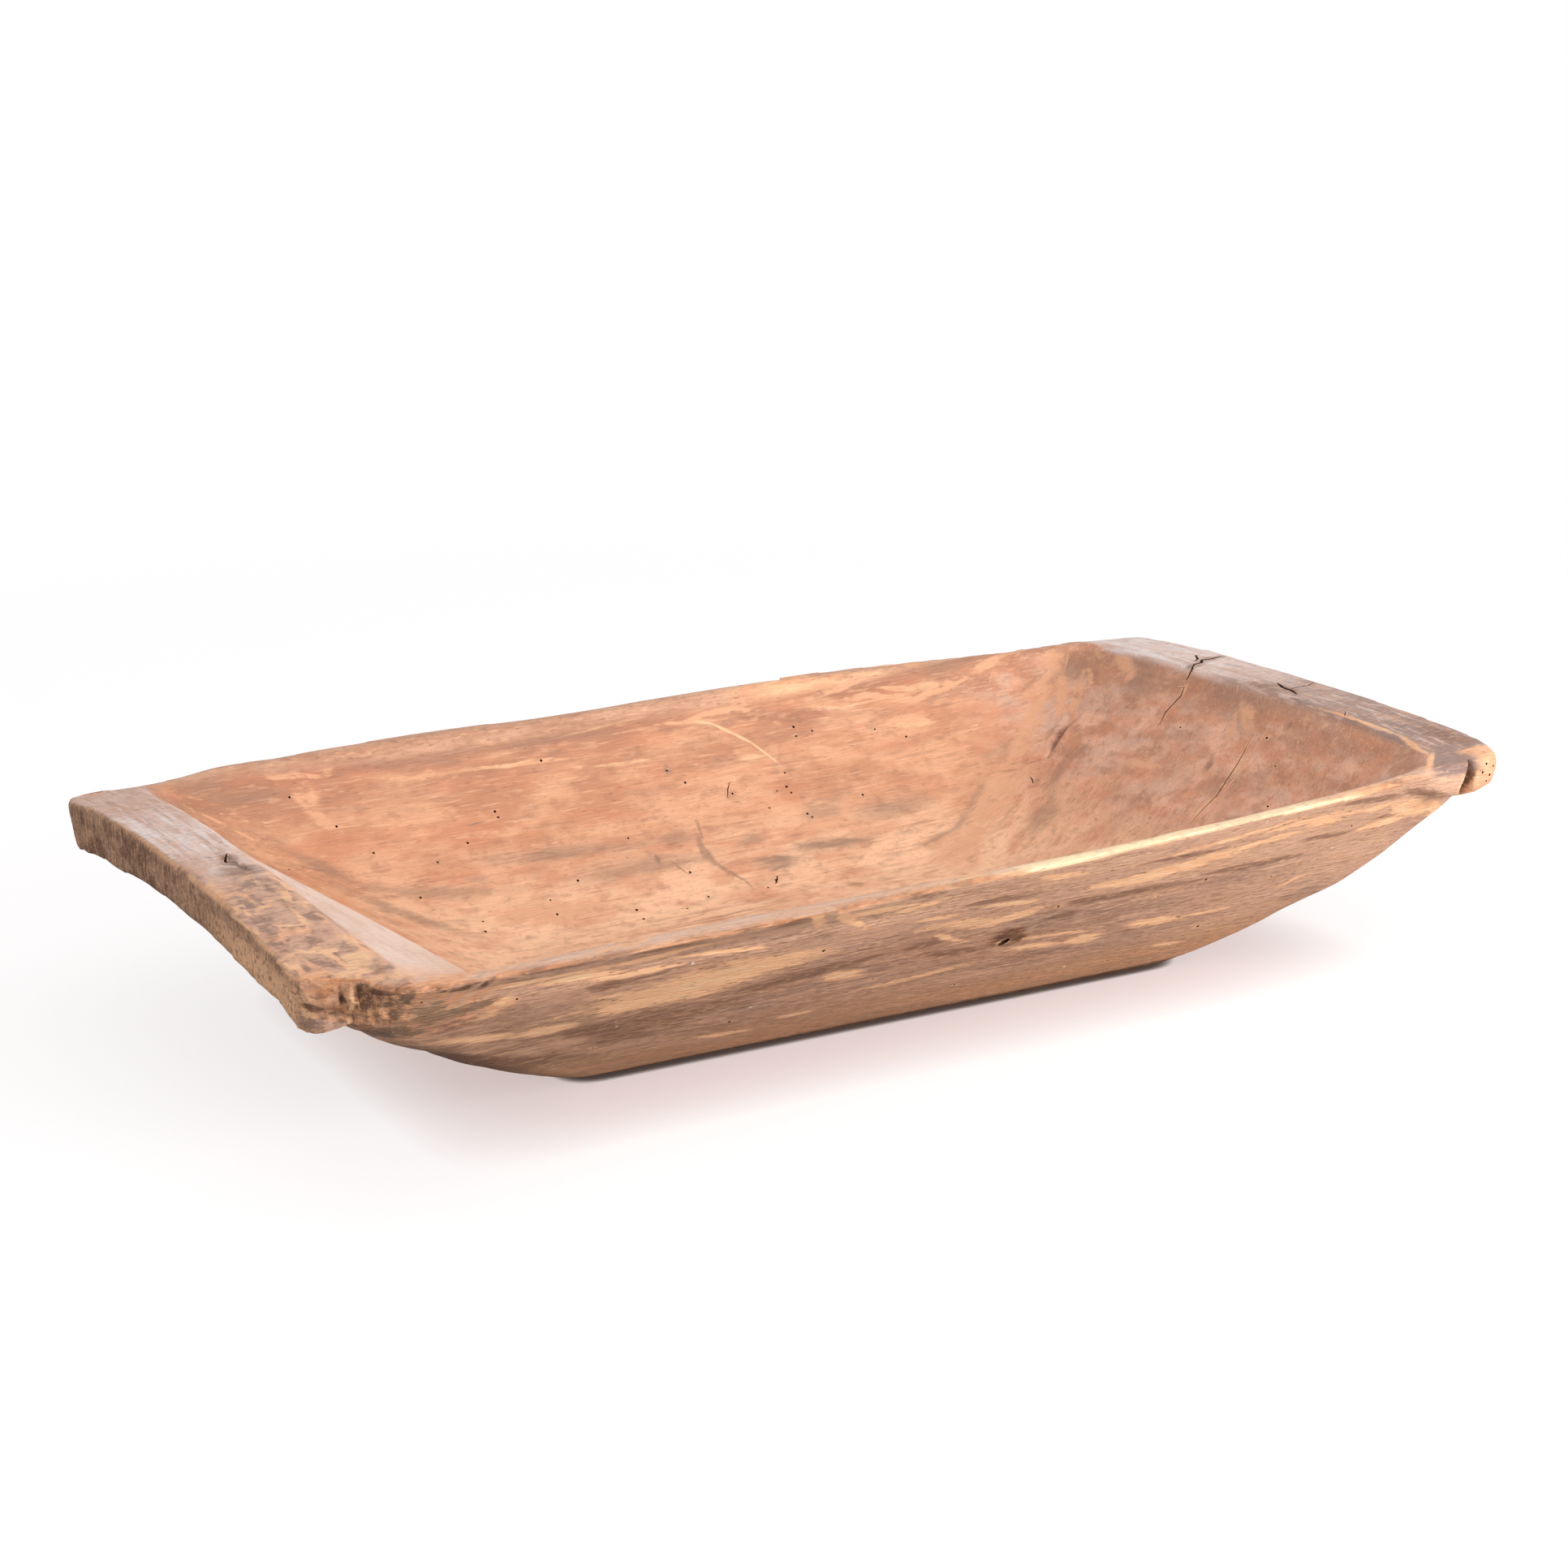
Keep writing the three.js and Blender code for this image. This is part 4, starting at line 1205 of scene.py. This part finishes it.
rim = coat(linear(TONES["rim_skin_and_lip_sheen"]), "patina_light", cells((40, 20, 8), 0.4, 0.6, seed=51))
rim = coat(rim, bare_tone, cells((60, 20, 10), 0.52, 0.64, seed=52))
far_rim = coat(linear(TONES["patina"]), "tan", cells((60, 20, 10), 0.4, 0.6, seed=54, detail=4))
far_rim = coat(far_rim, bare_tone, both(between(along_x, 40, 120), cells((70, 20, 20), 0.36, 0.5, seed=55)))
rim = coat(rim, far_rim, between(along_y, -20, 20))
rim_bare_and_highlight = inside(washed("rim_bare_and_highlight_wash", both(side_fray, 0.5)), 0.3)
rim_outer = coat(linear(TONES["rim_orange"]), "rim_brown", cells((26, 20, 5), 0.46, 0.6, seed=56, detail=4))
rim_outer = coat(rim_outer, bare_tone, both(cells((44, 20, 4), 0.54, 0.66, seed=57, detail=4), 0.5))
rim_outer = coat(rim_outer, "pore_and_shade", both(cells((9, 9, 3.4), 0.56, 0.66, seed=91, detail=3), 0.6))

skin = coat(hull, hollow, zone["hollow"])
skin = coat(skin, rim, zone["rim_top"])
skin = coat(skin, ledge, zone["ledge_top"])
skin = coat(skin, end_grain, zone["end_face"])
skin = coat(skin, rim_outer, both(both(zone["rim_outer"], 0.85), outside_of(between(along_x, 330, 380))))
corner_fray = fraying((9, 9, 4), 0.5, 65)
corner_coords = wavering(place_mm, (13, 13, 9), (2.4, 2.4, 2), 9)
near_corner = both(between(along_y, -184, -196), outside_of(either(zone["ledge_top"], zone["hollow"])))
orange_wood = coat(linear(TONES["bare_orange"]), "tan", cells((8, 8, 5), 0.42, 0.6, seed=62, detail=4))
skin = coat(skin, orange_wood, both(near_corner, inside(washed("worn_corner", corner_fray), 0.4)))
torn = coat(linear(TONES["torn_light"]), "torn_dark_and_shade", cells((3, 3, 11), 0.45, 0.62, seed=61, detail=4))
skin = coat(skin, torn, both(zone["torn"], 0.7))
GREY_CORNER = {-15: [(-437, 121, 15, 4.6)], 0: [(-410, 108, 16, 4)]}
MOSSY_CORNER = {
    -8: [(-381, 121, 14, 9), (-400, 112, 16, 4)],
    8: [(-362, 120, 18, 4), (-400, 138, 3, 6), (-407, 133, 5, 2), (-402, 125, 3, 4)],
}
# Dark marks at the torn near left corner: partly dark torn wood, partly painted shade in the cuts and a
# painted shadow under the top facet of the tip.
DARK_AND_SHADED_CORNER = {
    -27: [(-437, 128.5, 11, 2.0)],
    0: [(-373, 139.5, 9, 2.4), (-356, 139, 2, 3), (-419, 136, 3, 7), (-411, 142, 7, 2), (-429, 138, 1.4, 4),
        (-444, 133, 3, 2)],
}
SPLINTER = {-4: [(-424.4, 131, 1.2, 13)]}
skin = coat(skin, "patina_grey", both(near_corner,
                                      inside(marks(GREY_CORNER, "side", corner_coords, corner_fray), 0.4)))
mossy = inside(marks(MOSSY_CORNER, "side", corner_coords, corner_fray), 0.3)
skin = coat(skin, "moss_brown", both(near_corner, both(mossy, 0.8)))
dark_and_shaded_corner = inside(marks(DARK_AND_SHADED_CORNER, "side", corner_coords, corner_fray), 0.4)
skin = coat(skin, "torn_dark_and_shade", both(near_corner, both(dark_and_shaded_corner, 0.85)))
skin = coat(skin, "bare", both(near_corner, inside(marks(SPLINTER, "side", corner_coords, 0.0), 0.3)))
tip_face = both(both(right_tip, between(along_x, 409, 413)), between(along_y, -206, -211))
skin = coat(skin, "tip", tip_face)
skin = coat(skin, bare_tone, both(tip_face, both(cells((5, 5, 5), 0.45, 0.6, seed=63), 0.6)))
# The notch beside the near right tip is painted dark brown: a painted shadow in the notch.
NOTCH_SHADE = {67: [(410.5, 130, 13, 3.6)]}
# The strip left of the notch is painted pale: a painted highlight on its edge.
FLAP_HIGHLIGHT = {50: [(402.5, 130, 13, 1.7)]}
near_tip = both(right_tip, between(along_y, -200, -206))
skin = coat(skin, "pore_and_shade", both(near_tip,
    both(inside(marks(NOTCH_SHADE, "side", place_mm, both(corner_fray, 0.3)), 0.4), 0.85)))
skin = coat(skin, "bare", both(near_tip,
    both(inside(marks(FLAP_HIGHLIGHT, "side", place_mm, both(corner_fray, 0.3)), 0.5), 0.8)))
CORNER_WEB = {0: [(398, -222, 22, 16)], 40: [(404, -204, 12, 8)]}
CORNER_LINE = {3: [(401.5, -128, 1.8, 40)], -16: [(398, -184, 2.4, 20)], -50: [(387, -210, 2.4, 15)]}
inner_top = both(between(along_y, -231, -227), between(height, 136, 140))
skin = coat(skin, "ledge_dull", both(inner_top,
    both(right_side, inside(marks(CORNER_WEB, "plan", fine_coords, 0.0), 0.3))))
corner_line = inside(marks(CORNER_LINE, "plan", fine_coords, both(plan_fray, 0.6)), 0.4)
skin = coat(skin, bare_tone, both(inner_top, both(right_side, both(corner_line, 0.9))))
chipped = both(zone["worn_edge"], cells((34, 34, 10), 0.34, 0.5, seed=53, detail=4))
chipped = both(chipped, outside_of(both(right_side, zone["ledge_top"])))
on_near_rim = both(between(along_y, -190, -215), between(height, 126, 134))
skinned_rim = either(both(between(along_x, 60, -30), 0.85), between(along_x, 308, 330))
chipped = both(chipped, outside_of(both(on_near_rim, skinned_rim)))
chipped = both(chipped, outside_of(between(along_x, -424, -430)))
skin = coat(skin, bare_tone, both(both(chipped, between(along_y, 150, 60)), 0.85))
skin = coat(skin, bare_tone, both(zone["left_arris"], 0.9))
# The near rim at the right is painted brightest: rubbed-bare wood with a painted highlight along its top.
skin = coat(skin, "bare_bright_and_highlight", both(both(either(zone["rim_top"], zone["rim_outer"]),
                                           between(along_y, 0, -100)), rim_bare_and_highlight))
skin = coat(skin, "pore_and_shade", both(both(zone["recess"], outside_of(zone["lip"])), 0.6))
print("nodes so far:", len(tree.nodes))

# %% [markdown]
# ## Fine marks, roughness and bump
# Last come the marks that are only a millimetre or two across: specks of lime or paint outside, and pores
# along the grain everywhere. Torn wood and end grain are rougher than the rest, and the ledges are the
# smoothest. The bump carries only what is finer than the faces of the mesh: pores, hairlines and the end
# grain.

# %% Specks, pores, roughness and bump, and the shader itself
SPECK_CELL_MM = 24
PORE_CELL_MM = (9, 2.6, 2.6)


def dots(cell_mm, radius, chosen, coords):
    """Small dots, at most one in each cell of a Voronoi pattern, in only some of the cells."""
    scaled = add_node("Mapping", None, {"Vector": coords, "Scale": [1 / size for size in cell_mm]})
    pattern = add_node("TexVoronoi", None, {"Vector": scaled.outputs[0], "Scale": 1})
    picked = add_node("SeparateColor", None, {0: pattern.outputs["Color"]})
    return both(between(pattern.outputs["Distance"], radius, radius * 0.6),
                between(picked.outputs[0], chosen, chosen + 0.02))


specks = dots([SPECK_CELL_MM] * 3, 0.055, 0.62, place_mm)
skin = coat(skin, "speck", both(both(specks, outside_of(zone["hollow"])), 0.8))
pores = dots(PORE_CELL_MM, 0.28, 0.78, wavering(place_mm, (20, 20, 20), (2, 2, 2), 5))
clean = either(zone["hollow"], both(bare_side, 0.55))
pore_depth = add_node("MapRange", None, {"Value": clean, "To Min": 0.34, "To Max": 0.13}).outputs[0]
skin = coat(skin, "pore_and_shade", both(pores, pore_depth))
fine = cells((16, 1.6, 1.3), 0.3, 0.7, seed=71, detail=4)
skin = coat(skin, "pore_and_shade", both(fine, both(pore_depth, 0.4)))
skin = coat(skin, "pore_and_shade", both(outside_of(clean),
                               both(cells((7, 3, 2.2), 0.48, 0.72, seed=73, detail=5), 0.3)))
skin = coat(skin, "bare", both(outside_of(clean),
                               both(cells((8, 2.6, 2), 0.5, 0.72, seed=74, detail=5), 0.4)))

roughness = add_node("MapRange", None, {"Value": fine, "To Min": 0.46, "To Max": 0.6}).outputs[0]
smoother = add_node("MapRange", None, {"Value": zone["ledge_top"], "To Min": 0.0,
                                       "To Max": -0.05}).outputs[0]
rougher = add_node("MapRange", None, {"Value": either(zone["torn"], zone["end_face"]), "To Min": 0.0,
                                      "To Max": 0.25}).outputs[0]
roughness = add_node("Math", {"operation": "ADD"}, {0: roughness, 1: smoother}).outputs[0]
roughness = add_node("Math", {"operation": "ADD"}, {0: roughness, 1: rougher}).outputs[0]

end_lines = both(cells((6, 1.1, 14), 0.3, 0.7, seed=72, detail=4), zone["end_face"])
relief = add_node("Math", {"operation": "SUBTRACT"}, {0: fine, 1: pores}).outputs[0]
relief = add_node("Math", {"operation": "ADD"}, {0: relief, 1: end_lines}).outputs[0]
bump = add_node("Bump", None, {"Strength": 0.7, "Distance": 0.0005, "Height": relief})
surface = add_node("BsdfPrincipled", None, {
    "Base Color": skin, "Roughness": roughness, "IOR": 1.48, "Normal": bump.outputs[0]})
add_node("OutputMaterial", None, {"Surface": surface.outputs[0]})
trough.data.materials[0] = wood

tree = empty_tree(hole_material)
place_mm = position_mm()
# The walls of the holes and cracks are dark brown.
hole_wall_colour = coat(linear("#3B2416"), "torn_dark_and_shade", cells((2, 2, 2), 0.4, 0.6, seed=81))
surface = add_node("BsdfPrincipled", None, {"Base Color": hole_wall_colour, "Roughness": 0.9})
add_node("OutputMaterial", None, {"Surface": surface.outputs[0]})
print("wood nodes:", len(wood.node_tree.nodes))

# %% Ride on the frame
make_active(trough)
bpy.ops.object.shade_smooth_by_angle(angle=math.radians(50))
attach(trough, "root")
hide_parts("trough")


# %% [markdown]
# ## The studio
# The trough stands on a white sweep under broad soft light. In the photograph the floor melts into the
# background and keeps only a faint shadow. A real sweep could be modelled as a curved sheet, but a flat floor
# is simpler: near the trough it is lit and shows the shadow, and further out it gives way to plain white for
# the camera alone. The world does the same, so no white is bought with more light on the wood. Ambient
# Occlusion tells the floor how open each point is: it sets the soft shadow and the thin dark contact line.

# %% The world and the floor
AMBIENT = 0.52
FLOOR_SIZE = 30
WHITE_FROM, WHITE_FULL = 0.75, 1.9
SHADOW_REACH, CONTACT_REACH = 0.06, 0.005
scene = bpy.context.scene

world = bpy.data.worlds.new("studio")
scene.world = world
tree = empty_tree(world)
path = add_node("LightPath")
seen = add_node("Math", {"operation": "MAXIMUM"},
                {0: path.outputs["Is Camera Ray"], 1: path.outputs["Is Glossy Ray"]})
seen = add_node("Math", {"operation": "MAXIMUM"},
                {0: seen.outputs[0], 1: path.outputs["Is Transmission Ray"]})
lighting = add_node("Background", None, {"Color": (1, 0.985, 0.97, 1), "Strength": AMBIENT})
backdrop = add_node("Background", None, {"Color": (1, 1, 1, 1), "Strength": 1.0})
both_worlds = add_node("MixShader", None,
                       {0: seen.outputs[0], 1: lighting.outputs[0], 2: backdrop.outputs[0]})
add_node("OutputWorld", None, {"Surface": both_worlds.outputs[0]})

deselect_all()
bpy.ops.mesh.primitive_plane_add(size=FLOOR_SIZE)
floor = bpy.context.object
floor.name = "floor"
floor_material = bpy.data.materials.new("white_sweep")
floor.data.materials.append(floor_material)
tree = empty_tree(floor_material)
position = add_node("TexCoord").outputs["Object"]
far = add_node("VectorMath", {"operation": "LENGTH"}, {0: position})
far = add_node("MapRange", {"interpolation_type": "SMOOTHSTEP"},
               {"Value": far.outputs["Value"], "From Min": WHITE_FROM, "From Max": WHITE_FULL})
path = add_node("LightPath")
white_share = add_node("Math", {"operation": "MULTIPLY"},
                       {0: far.outputs[0], 1: path.outputs["Is Camera Ray"]})
# The camera's glow on the floor is dimmed and tinted pink where the floor is closed in, and the paper turns
# dark brown at the hull's foot: a painted shadow and a painted contact line.
openness = add_node("AmbientOcclusion", {"samples": 8}, {"Distance": SHADOW_REACH})
openness = add_node("MapRange", None, {"Value": openness.outputs["AO"], "From Min": 0.3})
lift_with_shadow_tint = add_node("Mix", {"data_type": "RGBA"},
                       {0: openness.outputs[0], 6: (1, 0.83, 0.8, 1), 7: (1, 0.985, 0.98, 1)})
lift_level = add_node("MapRange", None, {"Value": openness.outputs[0], "To Min": 0.57, "To Max": 0.76})
contact = add_node("AmbientOcclusion", {"samples": 8}, {"Distance": CONTACT_REACH})
contact = add_node("MapRange", None, {"Value": contact.outputs["AO"], "From Min": 0.35, "From Max": 0.88,
                                      "To Min": 0.07})
lift_level = add_node("Math", {"operation": "MULTIPLY"}, {0: lift_level.outputs[0], 1: contact.outputs[0]})
paper_and_contact_shade = add_node("Mix", {"data_type": "RGBA"},
                        {0: contact.outputs[0], 6: (0.1, 0.05, 0.03, 1), 7: (0.32, 0.315, 0.325, 1)})
paper = add_node("BsdfDiffuse", None, {"Color": paper_and_contact_shade.outputs[2]})
lift = add_node("Emission", None, {"Color": lift_with_shadow_tint.outputs[2], "Strength": lift_level.outputs[0]})
black = add_node("Emission", None, {"Color": (0, 0, 0, 1)})
lift_seen = add_node("MixShader", None,
                     {0: path.outputs["Is Camera Ray"], 1: black.outputs[0], 2: lift.outputs[0]})
lit = add_node("AddShader", None, {0: paper.outputs[0], 1: lift_seen.outputs[0]})
white = add_node("Emission", None, {"Color": (1, 1, 1, 1), "Strength": 1.0})
shown = add_node("MixShader", None, {0: white_share.outputs[0], 1: lit.outputs[0], 2: white.outputs[0]})
add_node("OutputMaterial", None, {"Surface": shown.outputs[0]})

# %% The lamps
LAMPS = {
    "key_from_the_right": ((0.9, -0.7, 1.7), 1.6, 6, (1, 0.98, 0.95)),
    "fill_from_above": ((-0.4, 0.3, 2.2), 2.4, 8, (0.97, 0.98, 1)),
    "softbox_in_front": ((1.1, -2.0, 0.6), 1.5, 64, (1, 0.985, 0.96)),
    "fill_from_the_left": ((-2.2, -0.5, 0.8), 1.5, 9, (1, 0.98, 0.96)),
}
for name, (place, size, power, colour) in LAMPS.items():
    lamp = bpy.data.objects.new(name, bpy.data.lights.new(name, "AREA"))
    lamp.data.size = size
    lamp.data.energy = power
    lamp.data.color = colour
    lamp.location = place
    lamp.rotation_euler = (Vector(place) - Vector((0, 0, 0.1))).to_track_quat("Z", "Y").to_euler()
    scene.collection.objects.link(lamp)

scene.view_settings.view_transform = "Standard"

# %% Sizes, and the end
print("cad box:", [[round(v, 4) for v in corner] for corner in cad_box])
